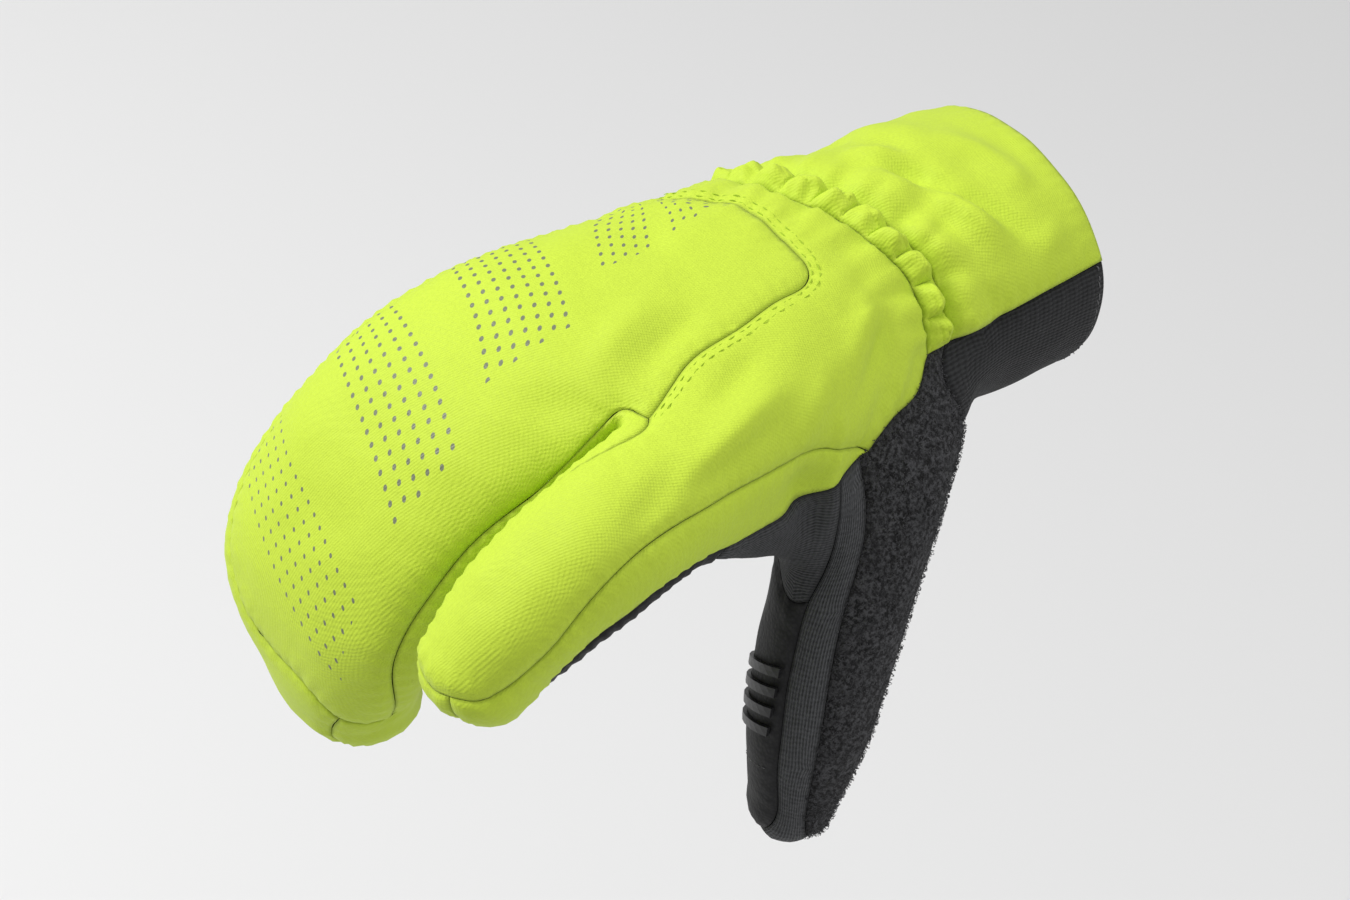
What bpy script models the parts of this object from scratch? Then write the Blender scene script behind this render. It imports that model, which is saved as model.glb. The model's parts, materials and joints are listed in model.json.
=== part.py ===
"""Right-hand split-finger winter mitten, modelled in Blender.

The mitten is one smooth padded form with a cuff, a pocket for three fingers, a pocket for the
index finger and a thumb. Four tapering lobes, each a row of sections along a spine, are blended
into that form. Seams are curves that lie on it, and every sewn piece is the part of it between
its own seams: a cloth wall of its own thickness with a narrow gap to its neighbours.

Metres. X runs from the cuff's opening towards the fingertips, Y towards the thumb, Z out of the
back of the hand. The origin is the centre of the cuff's opening.
"""
import bpy
import numpy as np
from mathutils import Vector
from mathutils.geometry import delaunay_2d_cdt

# Cuff and wrist
CUFF_LENGTH = 0.058
CUFF_HALF_WIDTH = 0.039
CUFF_HALF_DEPTH = 0.031
WRIST_HALF_WIDTH = 0.035
WRIST_HALF_DEPTH = 0.0275

# Hand, from the wrist to the bottom of the slot between the pockets
PALM_LENGTH = 0.090
PALM_HALF_WIDTH = 0.0445
PALM_HALF_DEPTH = 0.0242

# Pocket for three fingers: how far it reaches past the slot and hangs below the palm
POCKET_REACH = 0.049
POCKET_DROP = 0.090
POCKET_HALF_WIDTH = 0.0385
POCKET_HALF_DEPTH = 0.020

# Pocket for the index finger
INDEX_REACH = 0.046
INDEX_DROP = 0.030
INDEX_OFFSET = 0.050
INDEX_HALF_WIDTH = 0.018
INDEX_HALF_DEPTH = 0.0185

# Thumb: how far its spine runs forward, outward and down from the wrist
THUMB_FORWARD = 0.049
THUMB_OUTWARD = 0.045
THUMB_DROP = 0.098
THUMB_HALF_WIDTH = 0.0195
THUMB_HALF_DEPTH = 0.0185

# Slot between the pockets: a narrow cut that starts this far past the end of the palm
SLOT_START = 0.002
SLOT_WIDTH = 0.0024
SLOT_OFFSET = 0.0304
SLOT_LEAN = 0.055

# Web of knit between the thumb and the index finger
WEB_LENGTH = 0.045
WEB_HALF_WIDTH = 0.014
WEB_HALF_DEPTH = 0.013

ROUNDNESS = 2.3
LOBE_SAMPLES = 72

# Each row is a section: place along the lobe, offset outward and upward, and its half width,
# height above the spine and height below it, as shares of the sizes named in frame_of_lobes.
CUFF_SECTIONS = (
    (-0.34, 0.0, 0.0, 1.0, 0.94, 1.03),
    (0.0, 0.0, 0.0, 1.0, 0.94, 1.03),
    (0.52, 0.0, 0.01, 0.98, 0.91, 1.24),
)
WRIST_SECTIONS = (
    (1.0, 0.02, 0.05, 1.0, 0.92, 1.19),
)
PALM_SECTIONS = (
    (0.30, 0.09, 0.055, 0.94, 1.06, 1.12),
    (0.63, 0.09, 0.055, 1.0, 0.97, 1.04),
    (0.93, -0.07, 0.035, 0.87, 0.88, 0.92),
)
POCKET_SECTIONS = (
    (0.43, -0.19, -0.10, 0.99, 1.0, 1.0),
    (0.87, -0.24, -0.39, 1.0, 1.0, 0.96),
    (1.04, -0.27, -0.71, 0.965, 0.96, 0.93),
    (0.96, -0.24, -0.94, 0.76, 0.86, 0.82),
)
INDEX_SECTIONS = (
    (-1.70, 0.46, 0.03, 1.0, 0.95, 1.05),
    (-0.93, 0.66, 0.13, 1.1, 1.12, 1.22),
    (-0.17, 0.88, 0.10, 1.0, 1.03, 1.13),
    (0.30, 0.98, -0.03, 1.0, 0.97, 1.03),
    (0.76, 1.01, -0.43, 0.95, 0.92, 0.92),
    (1.07, 1.03, -0.93, 0.81, 0.76, 0.76),
)
THUMB_SECTIONS = (
    (0.0, 0.0, 0.0, 0.92, 0.88, 0.88),
    (0.39, 0.36, -0.14, 1.03, 1.08, 1.0),
    (0.69, 0.67, -0.41, 0.93, 0.98, 0.93),
    (0.90, 0.89, -0.73, 0.84, 0.86, 0.86),
    (1.0, 1.0, -1.0, 0.60, 0.65, 0.65),
)
THUMB_ROOT = (0.90, 0.54, -0.30)
WEB_SECTIONS = (
    (0.0, 0.0, 0.0, 1.0, 1.0, 1.0),
    (0.5, 0.06, 0.10, 1.0, 1.0, 1.0),
    (1.0, 0.12, 0.28, 0.85, 0.85, 0.85),
)
WEB_ROOT = (1.45, 0.88, -0.95)
THUMB_SIDE = (-0.88, 0.41, -0.25)
HAND_SIDE = (0.0, 1.0, 0.0)

# How softly the lobes run into each other
SLOT_BLEND = 0.007
SLOT_EDGE = 0.0015
THUMB_BLEND = 0.012
WEB_BLEND = 0.008


def natural_curve(rows, at):
    """Natural cubic through the rows, by chord length of their first three columns."""
    rows = np.asarray(rows, float)
    chord = np.linalg.norm(np.diff(rows[:, :3], axis=0), axis=1)
    knots = np.concatenate(([0.0], np.cumsum(chord)))
    size = len(knots)
    matrix, right = np.eye(size), np.zeros_like(rows)
    for k in range(1, size - 1):
        before, after = chord[k - 1], chord[k]
        matrix[k, k - 1:k + 2] = before, 2 * (before + after), after
        right[k] = 6 * ((rows[k + 1] - rows[k]) / after - (rows[k] - rows[k - 1]) / before)
    bend = np.linalg.solve(matrix, right)
    place = np.asarray(at) * knots[-1]
    k = np.clip(np.searchsorted(knots, place, "right") - 1, 0, size - 2)
    left, ahead, step = (knots[k + 1] - place)[:, None], (place - knots[k])[:, None], chord[k][:, None]
    cubic = (bend[k] * left ** 3 + bend[k + 1] * ahead ** 3) / (6 * step)
    return cubic + (rows[k] / step - bend[k] * step / 6) * left + (rows[k + 1] / step - bend[k + 1] * step / 6) * ahead


class Lobe:
    """A tapering round form: superellipse sections across a smooth spine, with a domed end."""

    def __init__(self, rows, side, dome):
        table = natural_curve(rows, np.linspace(0, 1, LOBE_SAMPLES))
        self.centre, self.size, self.dome = table[:, :3], table[:, 3:6], dome
        steps = np.linalg.norm(np.diff(self.centre, axis=0), axis=1)
        self.length = steps.sum()
        ahead = np.gradient(self.centre, axis=0)
        self.ahead = ahead / np.linalg.norm(ahead, axis=1, keepdims=True)
        side = np.asarray(side) - self.ahead * (self.ahead @ np.asarray(side))[:, None]
        self.side = side / np.linalg.norm(side, axis=1, keepdims=True)
        self.up = np.cross(self.ahead, self.side)

    def read(self, table, place):
        k = np.clip(place.astype(int), 0, len(table) - 2)
        part = (place - k)[:, None]
        return table[k] * (1 - part) + table[k + 1] * part

    def place_of(self, points):
        """Nearest place on the spine, in samples."""
        nearest = ((points[:, None, :] - self.centre[None]) ** 2).sum(-1).argmin(1)
        past = ((points - self.centre[nearest]) * self.ahead[nearest]).sum(1)
        step = self.length / (LOBE_SAMPLES - 1)
        return np.clip(nearest + past / step, 0, LOBE_SAMPLES - 1)

    def local(self, points):
        place = self.place_of(points)
        offset = points - self.read(self.centre, place)
        across = (offset * self.read(self.side, place)).sum(1)
        upward = (offset * self.read(self.up, place)).sum(1)
        onward = (offset * self.read(self.ahead, place)).sum(1)
        inside = (place > 1e-9) & (place < LOBE_SAMPLES - 1 - 1e-9)
        return place, across, upward, np.where(inside, 0.0, onward)

    def distance(self, points):
        """Signed distance to the skin, exact along the rays from the spine."""
        place, across, upward, onward = self.local(points)
        width, above, below = self.read(self.size, place).T
        height = np.where(upward > 0, above, below)
        shares = (np.abs(across) / width) ** ROUNDNESS + (np.abs(upward) / height) ** ROUNDNESS
        shares = shares + (np.abs(onward) / self.dome) ** ROUNDNESS
        ratio = np.maximum(shares ** (1 / ROUNDNESS), 0.05)
        reach = np.sqrt(across ** 2 + upward ** 2 + onward ** 2)
        return np.where(ratio > 0.05, reach * (1 - 1 / ratio), -np.minimum(width, height))

    def address(self, points):
        """Place as a share of the spine, past 1 on the dome, and the angle round it in degrees."""
        place, across, upward, onward = self.local(points)
        tilt = np.arctan2(np.maximum(onward, 0), np.hypot(across, upward))
        return place / (LOBE_SAMPLES - 1) + tilt / (np.pi / 2), np.degrees(np.arctan2(upward, across))

    def ray(self, share, angle):
        share, angle = np.atleast_1d(share).astype(float), np.radians(np.atleast_1d(angle).astype(float))
        place = np.clip(share, 0, 1) * (LOBE_SAMPLES - 1)
        tilt = np.clip(share - 1, 0, 1) * np.pi / 2
        flat = self.read(self.side, place) * np.cos(angle)[:, None] + self.read(self.up, place) * np.sin(angle)[:, None]
        way = flat * np.cos(tilt)[:, None] + self.read(self.ahead, place) * np.sin(tilt)[:, None]
        return self.read(self.centre, place), way


def blend(first, second, softness):
    share = np.clip(0.5 + 0.5 * (second - first) / softness, 0, 1)
    return second * (1 - share) + first * share - softness * share * (1 - share)


def frame_of_lobes():
    """Turns the section tables into rows of centre and half sizes in metres."""
    slot_x = CUFF_LENGTH + PALM_LENGTH
    cuff = [(p * CUFF_LENGTH, o * CUFF_HALF_WIDTH, r * CUFF_LENGTH, w * CUFF_HALF_WIDTH,
             a * CUFF_HALF_DEPTH, b * CUFF_HALF_DEPTH) for p, o, r, w, a, b in CUFF_SECTIONS]
    wrist = [(p * CUFF_LENGTH, o * WRIST_HALF_WIDTH, r * CUFF_LENGTH, w * WRIST_HALF_WIDTH,
              a * WRIST_HALF_DEPTH, b * WRIST_HALF_DEPTH) for p, o, r, w, a, b in WRIST_SECTIONS]
    palm = [(CUFF_LENGTH + p * PALM_LENGTH, o * PALM_HALF_WIDTH, r * PALM_LENGTH, w * PALM_HALF_WIDTH,
             a * PALM_HALF_DEPTH, b * PALM_HALF_DEPTH) for p, o, r, w, a, b in PALM_SECTIONS]
    pocket = [(slot_x + p * POCKET_REACH, o * PALM_HALF_WIDTH, r * POCKET_DROP, w * POCKET_HALF_WIDTH,
               a * POCKET_HALF_DEPTH, b * POCKET_HALF_DEPTH) for p, o, r, w, a, b in POCKET_SECTIONS]
    index = [(slot_x + p * INDEX_REACH, o * INDEX_OFFSET, r * INDEX_DROP, w * INDEX_HALF_WIDTH,
              a * INDEX_HALF_DEPTH, b * INDEX_HALF_DEPTH) for p, o, r, w, a, b in INDEX_SECTIONS]
    root = np.array([THUMB_ROOT[0] * CUFF_LENGTH, THUMB_ROOT[1] * PALM_HALF_WIDTH, THUMB_ROOT[2] * WRIST_HALF_DEPTH])
    thumb = [tuple(root + (p * THUMB_FORWARD, o * THUMB_OUTWARD, r * THUMB_DROP))
             + (w * THUMB_HALF_WIDTH, a * THUMB_HALF_DEPTH, b * THUMB_HALF_DEPTH) for p, o, r, w, a, b in THUMB_SECTIONS]
    root = np.array([WEB_ROOT[0] * CUFF_LENGTH, WEB_ROOT[1] * PALM_HALF_WIDTH, WEB_ROOT[2] * PALM_HALF_DEPTH])
    web = [tuple(root + (p * WEB_LENGTH, o * WEB_LENGTH, r * WEB_LENGTH))
           + (w * WEB_HALF_WIDTH, a * WEB_HALF_DEPTH, b * WEB_HALF_DEPTH) for p, o, r, w, a, b in WEB_SECTIONS]
    return {
        "hand": Lobe(cuff + wrist + palm + pocket, HAND_SIDE, 0.8 * POCKET_HALF_DEPTH),
        "index": Lobe(index, HAND_SIDE, 0.7 * INDEX_HALF_DEPTH),
        "thumb": Lobe(thumb, THUMB_SIDE, 0.68 * THUMB_HALF_DEPTH),
        "web": Lobe(web, HAND_SIDE, WEB_HALF_DEPTH),
    }


LOBES = frame_of_lobes()


def slot(points):
    """Signed distance to the upright cut between the two pockets, rounded at its bottom."""
    onward = points[:, 0] - CUFF_LENGTH - PALM_LENGTH - SLOT_START
    across = points[:, 1] - SLOT_OFFSET - SLOT_LEAN * onward
    return np.hypot(np.minimum(onward, 0), across) - SLOT_WIDTH / 2


def form(points):
    """Signed distance to the mitten's outer skin."""
    pockets = blend(LOBES["hand"].distance(points), LOBES["index"].distance(points), SLOT_BLEND)
    pockets = -blend(-pockets, slot(points), SLOT_EDGE)
    web = blend(pockets, LOBES["web"].distance(points), WEB_BLEND)
    return blend(web, LOBES["thumb"].distance(points), THUMB_BLEND)


def slope(points, reach=0.0002):
    """Gradient of the form at the points, from four steps to the corners of a tetrahedron."""
    corners = np.array([(1, 1, 1), (1, -1, -1), (-1, 1, -1), (-1, -1, 1)], float)
    return sum(corner * form(points + corner * reach)[:, None] for corner in corners) / (4 * reach)


# Cloth walls and seams
SHELL_WALL = 0.0022
GATHER_WALL = 0.0026
KNIT_WALL = 0.0018
PALM_WALL = 0.0020
TERRY_WALL = 0.0030
SEAM_GAP = 0.0003
SEAM_STEP = 0.0060
CELL = 0.0068
EASE_ROUNDS = 8

# Elastic gather round the back of the wrist
GATHER_WIDTH = 0.009
GATHER_PUFFS = 10
GATHER_RISE = 0.0028

# Ridges and hollows of the worn cloth
FOLD_HEIGHT = 0.0030
FOLD_WIDTH = 0.0065

# Silicone bars on the thumb's grip panel
GRIP_BARS = 4
GRIP_BAR_WIDTH = 0.0027
GRIP_BAR_RISE = 0.0011
GRIP_BAR_PITCH = 0.0053
GRIP_BAR_SLANT = 0.0060
GRIP_FIRST = 0.655
GRIP_ANGLES = (146, 226)

# Each lobe's places are counted in zones: hand 0 opening, 1 wrist, 2 slot, 3 pocket's end;
# index 0 root, 1 slot, 2 end; thumb and web 0 root, 1 end. What lies past the end is on the dome.
GATHER_LINE = (
    (1.010, 9), (1.000, 26), (1.002, 44), (1.027, 58), (1.055, 86), (1.080, 103),
    (1.110, 118), (1.126, 136), (1.138, 152), (1.147, 167),
)

# Corners are lobe, place and angle; "floor" is the bottom of the slot, with its height in metres.
CORNERS = {
    "rim_thumb": ("hand", 0.0, 24), "rim_palm": ("hand", 0.0, -86), "rim_outer": ("hand", 0.0, 168),
    "cuff_heel": ("hand", 0.86, -58), "cuff_edge": ("hand", 1.08, -161),
    "back_outer": ("hand", 1.42, 158), "back_corner": ("hand", 1.325, 62), "slot": ("hand", 1.826, 24),
    "pocket_shoulder": ("hand", 2.778, 140), "pocket_back": ("hand", 2.918, 26), "pocket_side": ("hand", 2.955, 0),
    "pocket_heel": ("hand", 2.78, 225), "pocket_palm": ("hand", 2.83, 318), "pocket_under": ("hand", 2.76, 334),
    "palm_outer": ("hand", 1.96, 200), "slot_palm": ("index", 0.925, -131),
    "index_back": ("index", 2.31, 62), "index_back_side": ("index", 1.93, 20),
    "index_back_slot": ("index", 2.25, 146), "notch": ("index", 0.252, -16), "notch_under": ("index", 0.285, -18),
    "index_palm": ("index", 2.2, -92), "index_palm_side": ("index", 1.90, -40),
    "index_palm_slot": ("index", 1.95, -140),
    "web_top": ("index", 0.39, -27), "web_finger": ("index", 0.88, -36), "web_base": ("index", 0.86, -64),
    "web_palm": ("thumb", 0.42, 205),
    "web_thumb": ("thumb", 0.512, 138), "thumb_heel": ("thumb", 0.33, -98), "thumb_end": ("thumb", 1.35, -98),
    "strip_end_back": ("thumb", 1.60, -30), "strip_end_palm": ("thumb", 1.50, 215),
}
# Sewn seams, each a smooth curve through named corners and other places
LINES = (
    ("rim_thumb", ("hand", 0, 50), ("hand", 0, 90), ("hand", 0, 130), "rim_outer"),
    ("rim_thumb", ("hand", 0, -10), ("hand", 0, -40), "rim_palm", ("hand", 0, -130), ("hand", 0, -165), "rim_outer"),
    ("rim_thumb", ("hand", 0.55, 17), "cuff_thumb"),
    ("rim_outer", "cuff_outer"),
    ("cuff_thumb", "hand_thumb"),
    ("cuff_outer", "hand_outer", "back_outer", ("hand", 1.65, 160), ("hand", 1.96, 162), ("hand", 2.23, 163),
     ("hand", 2.486, 161), ("hand", 2.67, 155), "pocket_shoulder", ("hand", 2.822, 117), ("hand", 2.848, 80),
     ("hand", 2.862, 44), "pocket_back", ("hand", 2.942, 12), "pocket_side"),
    ("back_outer", ("hand", 1.379, 143), ("hand", 1.317, 130), ("hand", 1.30, 114), ("hand", 1.30, 98),
     ("hand", 1.306, 78), "back_corner", ("hand", 1.36, 57), ("hand", 1.43, 55), ("hand", 1.563, 48),
     ("hand", 1.702, 38), ("hand", 1.761, 30), "slot"),
    ("slot", ("hand", 1.866, 26), ("hand", 1.956, 19), ("hand", 2.12, 12), ("hand", 2.30, 12), ("hand", 2.486, 12),
     ("hand", 2.67, 10), ("hand", 2.836, 2), "pocket_side"),
    ("slot", ("index", 0.934, 114), ("index", 0.98, 114), ("index", 1.06, 121), ("index", 1.2, 134),
     ("index", 1.4, 146), ("index", 1.6, 150), ("index", 1.8, 152), ("index", 2.0, 151), "index_back_slot",
     ("index", 2.36, 116), ("index", 2.42, 90), "index_back", ("index", 2.13, 35), "index_back_side",
     ("index", 1.81, 17), ("index", 1.66, 19), ("index", 1.46, 28), ("index", 1.25, 33), ("index", 1.05, 30),
     ("index", 0.95, 27), ("index", 0.717, 18), ("index", 0.555, 11), ("index", 0.40, 0), "notch"),
    ("hand_thumb", ("hand", 1.154, -1), ("hand", 1.241, -4), "notch"),
    ("notch", "notch_under"),
    ("cuff_thumb", ("hand", 0.993, 1), ("thumb", 0.078, 60), ("thumb", 0.086, 38), ("thumb", 0.10, 8),
     "cuff_heel", ("hand", 0.90, -90), ("hand", 0.98, -125), "cuff_edge"),
    ("cuff_outer", ("hand", 1.10, -179), "cuff_edge"),
    ("cuff_edge", ("hand", 1.45, 200), "palm_outer", ("hand", 2.3, 200), ("hand", 2.6, 205), "pocket_heel",
     ("hand", 2.84, 248), ("hand", 2.86, 275), ("hand", 2.86, 300), "pocket_palm", ("hand", 2.81, 328),
     "pocket_under", ("hand", 2.63, 337), ("hand", 2.44, 335), ("hand", 2.23, 334), ("hand", 2.05, 334), "slot_palm"),
    ("slot_palm", ("index", 1.03, -147), ("index", 1.15, -152), ("index", 1.4, -150), ("index", 1.7, -148),
     "index_palm_slot", ("index", 2.12, -120), "index_palm", ("index", 2.1, -62), "index_palm_side",
     ("index", 1.74, -26), ("index", 1.54, -19), ("index", 1.31, -19), ("index", 1.09, -25), "web_finger",
     ("index", 0.62, -34), "web_top", "notch_under"),
    ("pocket_back", ("hand", 3.15, 35), ("hand", 3.30, -20), ("hand", 3.10, -60), "pocket_palm"),
    ("index_back", ("index", 2.72, -20), "index_palm"),
    ("slot_palm", ("index", 0.91, -98), "web_base"),
    ("web_finger", "web_base", ("web", 0.75, -98), ("web", 0.35, -112), "web_palm"),
    ("web_thumb", ("thumb", 0.525, 152), ("thumb", 0.49, 180), "web_palm", ("thumb", 0.37, 235), "thumb_heel"),
    ("notch_under", ("thumb", 0.372, 106), ("thumb", 0.485, 107), ("thumb", 0.637, 105), ("thumb", 0.789, 98),
     ("thumb", 0.92, 92), ("thumb", 1.1, 84), ("thumb", 1.36, 74), ("thumb", 1.62, 30), "strip_end_back"),
    ("web_top", ("thumb", 0.384, 126), ("thumb", 0.456, 131), "web_thumb", ("thumb", 0.612, 141),
     ("thumb", 0.696, 141), ("thumb", 0.796, 136), ("thumb", 0.914, 131), ("thumb", 1.085, 127),
     ("thumb", 1.35, 140), ("thumb", 1.55, 180), "strip_end_palm"),
    ("strip_end_back", "thumb_end", "strip_end_palm"),
    ("cuff_heel", ("hand", 1.0, -56), "thumb_heel", ("thumb", 0.5, -96), ("thumb", 0.7, -95), ("thumb", 0.9, -95),
     ("thumb", 1.1, -96), "thumb_end"),
)

# Lines between the fields of one piece
FIELD_LINES = (
    ("pocket_shoulder", ("hand", 2.77, 180), "pocket_heel"),
    ("pocket_side", "pocket_under"),
    ("slot", ("floor", 0, 0.008), ("floor", 0, -0.005), "slot_palm"),
    ("index_back_slot", ("index", 2.2, 175), "index_palm_slot"),
    ("index_back_slot", ("index", 2.12, 90), "index_back_side"),
    ("slot", ("index", 0.75, 85), ("index", 0.50, 40), "notch"),
    ("hand_thumb", ("hand", 1.14, 30), "back_corner"),
    ("palm_outer", ("hand", 1.94, 270), "slot_palm"),
    ("index_palm_slot", ("index", 1.95, -90), "index_palm_side"),
    ("thumb_heel", ("thumb", 0.30, -40), ("thumb", 0.30, 20), ("thumb", 0.30, 70), "notch_under"),
    ("pocket_heel", ("hand", 2.76, 270), "pocket_under"),
)

# Pieces: name, wall, finish and fields. A field is a lobe whose rays reach it, or None, with the
# angle it faces, and four sides as chains of corners; the first and third run one way.
PANELS = (
    ("back_panel", SHELL_WALL, "softshell", (
        ("hand", 85, "back_outer pocket_shoulder", "pocket_shoulder pocket_back pocket_side",
         "back_corner slot pocket_side", "back_outer back_corner"),)),
    ("index_back_panel", SHELL_WALL, "softshell", (
        ("hand", 80, "hand_thumb hand_outer", "hand_outer back_outer", "back_corner back_outer",
         "hand_thumb back_corner"),
        (None, 0, "hand_thumb notch", "notch slot", "back_corner slot", "hand_thumb back_corner"),
        ("index", 85, "notch index_back_side", "index_back_side index_back_slot", "slot index_back_slot",
         "notch slot"),
        (None, 0, "index_back_side index_back", "index_back index_back_slot", None,
         "index_back_side index_back_slot"))),
    ("cuff_back", SHELL_WALL, "softshell", (
        ("hand", 90, "rim_thumb rim_outer", "rim_outer cuff_outer", "cuff_thumb cuff_outer", "rim_thumb cuff_thumb"),)),
    ("cuff_palm", KNIT_WALL, "rib_knit", (
        ("hand", -84, "rim_thumb rim_palm rim_outer", "rim_outer cuff_outer",
         "cuff_thumb cuff_heel cuff_edge cuff_outer", "rim_thumb cuff_thumb"),)),
    ("fourchette_outer", SHELL_WALL, "softshell", (
        ("hand", 180, "cuff_outer hand_outer back_outer pocket_shoulder", "pocket_shoulder pocket_heel",
         "cuff_edge palm_outer pocket_heel", "cuff_outer cuff_edge"),
        (None, 0, "pocket_shoulder pocket_back", "pocket_back pocket_palm", "pocket_heel pocket_palm",
         "pocket_shoulder pocket_heel"))),
    ("fourchette_middle", SHELL_WALL, "softshell", (
        (None, 0, "pocket_back pocket_side", "pocket_side pocket_under", "pocket_palm pocket_under",
         "pocket_back pocket_palm"),
        (None, 0, "pocket_side slot", "slot slot_palm", "pocket_under slot_palm", "pocket_side pocket_under"),
        (None, 0, "slot index_back_slot", "index_back_slot index_palm_slot", "slot_palm index_palm_slot",
         "slot slot_palm"),
        (None, 0, "index_back_slot index_back", "index_back index_palm", "index_palm_slot index_palm",
         "index_back_slot index_palm_slot"))),
    ("fourchette_index_side", SHELL_WALL, "softshell", (
        (None, 0, "index_back index_back_side notch", "notch notch_under",
         "index_palm index_palm_side web_finger web_top notch_under", "index_back index_palm"),)),
    ("palm_panel", PALM_WALL, "palm_cloth", (
        (None, 0, "palm_outer pocket_heel", "pocket_heel pocket_under", "slot_palm pocket_under",
         "palm_outer slot_palm"),
        (None, 0, "pocket_heel pocket_palm", "pocket_palm pocket_under", None, "pocket_heel pocket_under"),
        (None, 0, "cuff_edge palm_outer", "palm_outer slot_palm",
         "cuff_heel thumb_heel web_palm web_base slot_palm", "cuff_edge cuff_heel"))),
    ("index_palm_panel", PALM_WALL, "palm_cloth", (
        ("index", -90, "web_finger index_palm_side", "index_palm_side index_palm_slot", "slot_palm index_palm_slot",
         "web_finger web_base slot_palm"),
        (None, 0, "index_palm_side index_palm", "index_palm index_palm_slot", None,
         "index_palm_side index_palm_slot"))),
    ("thumb_web", KNIT_WALL, "web_knit", (
        (None, 0, "web_top web_finger", "web_finger web_base web_palm", "web_thumb web_palm", "web_top web_thumb"),)),
    ("thumb_side_strip", KNIT_WALL, "web_knit", (
        (None, 0, "notch_under strip_end_back", "strip_end_back thumb_end strip_end_palm",
         "web_top web_thumb strip_end_palm", "notch_under web_top"),)),
    ("thumb_grip_panel", PALM_WALL, "grip_cloth", (
        ("thumb", 195, "web_thumb strip_end_palm", "strip_end_palm thumb_end", "thumb_heel thumb_end",
         "web_thumb web_palm thumb_heel"),)),
    ("thumb_terry", TERRY_WALL, "terry", (
        ("thumb", 5, "cuff_heel thumb_heel", "thumb_heel notch_under", "cuff_thumb hand_thumb notch notch_under",
         "cuff_heel cuff_thumb"),
        ("thumb", 5, "thumb_heel thumb_end", "thumb_end strip_end_back", "notch_under strip_end_back",
         "thumb_heel notch_under"))),
)

# Folds: start, end, height and width as shares of the fold sizes; a negative height is a hollow
FOLDS = (
    (("hand", 0.60, 150), ("hand", 0.83, 81), 0.9, 0.9),
    (("hand", 0.52, 135), ("hand", 0.60, 45), 1.1, 1.0),
    (("hand", 0.68, 130), ("hand", 0.74, 50), -0.9, 0.8),
    (("hand", 0.33, 104), ("hand", 0.29, 60), 0.6, 0.9),
    (("hand", 0.29, 45), ("hand", 0.25, 33), 0.5, 0.8),
    (("hand", 1.16, 60), ("hand", 1.31, 4), -0.7, 0.8),
    (("index", 0.78, 103), ("index", 0.72, 23), 0.5, 1.3),
    (("index", 0.42, 105), ("index", 0.30, 12), 0.6, 1.4),
    (("hand", 2.08, 45), ("hand", 1.95, 28), -0.5, 0.8),
    (("web", 0.30, 70), ("thumb", 0.45, 150), 0.9, 0.9),
    (("web", 0.75, 60), ("web", 0.45, 0), -1.0, 0.8),
)

# Colours as seen, with roughness
FINISHES = {
    "softshell": ((0.62, 0.93, 0.02), 0.62),
    "gather": ((0.58, 0.88, 0.02), 0.66),
    "rib_knit": ((0.020, 0.021, 0.024), 0.85),
    "web_knit": ((0.030, 0.032, 0.036), 0.80),
    "palm_cloth": ((0.012, 0.012, 0.014), 0.70),
    "grip_cloth": ((0.012, 0.013, 0.015), 0.55),
    "terry": ((0.022, 0.023, 0.026), 0.95),
    "silicone": ((0.030, 0.031, 0.034), 0.25),
}


def wrist_share():
    """Zones of the hand's spine, read from the x of its samples."""
    x = LOBES["hand"].centre[:, 0]
    rising = np.argmax(x)
    shares = np.arange(LOBE_SAMPLES) / (LOBE_SAMPLES - 1)
    slot_x = CUFF_LENGTH + PALM_LENGTH
    return np.interp((0.0, CUFF_LENGTH, slot_x), x[:rising + 1], shares[:rising + 1])


def index_share():
    x = LOBES["index"].centre[:, 0]
    shares = np.arange(LOBE_SAMPLES) / (LOBE_SAMPLES - 1)
    return np.interp(CUFF_LENGTH + PALM_LENGTH, x, shares)


ZONES = {
    "hand": ((0, 1, 2, 3, 4), (*wrist_share(), 1.0, 2.0)),
    "index": ((0, 1, 2, 3), (0.0, index_share(), 1.0, 2.0)),
    "thumb": ((0, 1, 2), (0.0, 1.0, 2.0)),
    "web": ((0, 1, 2), (0.0, 1.0, 2.0)),
}


def cast(lobe, share, angle):
    """Points where rays from a lobe's spine leave the whole form."""
    start, way = LOBES[lobe].ray(share, angle)
    reach = np.full(len(start), 0.001)
    for _ in range(40):
        reach = reach - 0.85 * np.minimum(form(start + way * reach[:, None]), 0.002)
    return start + way * reach[:, None]


def settle(points, level=0.0, rounds=9):
    """Moves points along the form's slope until they lie at a level of it."""
    for _ in range(rounds):
        grade = slope(points)
        excess = form(points) - level
        move = grade * (excess / np.maximum((grade ** 2).sum(1), 0.25))[:, None]
        points = points - 0.9 * move
    return points


def spot(lobe, place, angle):
    """The skin at a lobe's place and angle, or the slot's floor at a height."""
    if lobe == "floor":
        return settle(np.array([[CUFF_LENGTH + PALM_LENGTH + SLOT_START - SLOT_WIDTH / 2, SLOT_OFFSET, angle]]))[0]
    return cast(lobe, np.interp(place, *ZONES[lobe]), angle)[0]


def gather_edge(side):
    """The gather's line moved half its width towards the cuff (-1) or the hand (+1)."""
    shift = side * GATHER_WIDTH / 2 / LOBES["hand"].length
    return [("hand", place, angle, shift) for place, angle in GATHER_LINE]


def resolve(item):
    if isinstance(item, str):
        return POINTS[item]
    if len(item) == 4:
        return cast(item[0], np.interp(item[1], *ZONES[item[0]]) + item[3], item[2])[0]
    return spot(*item)


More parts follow.
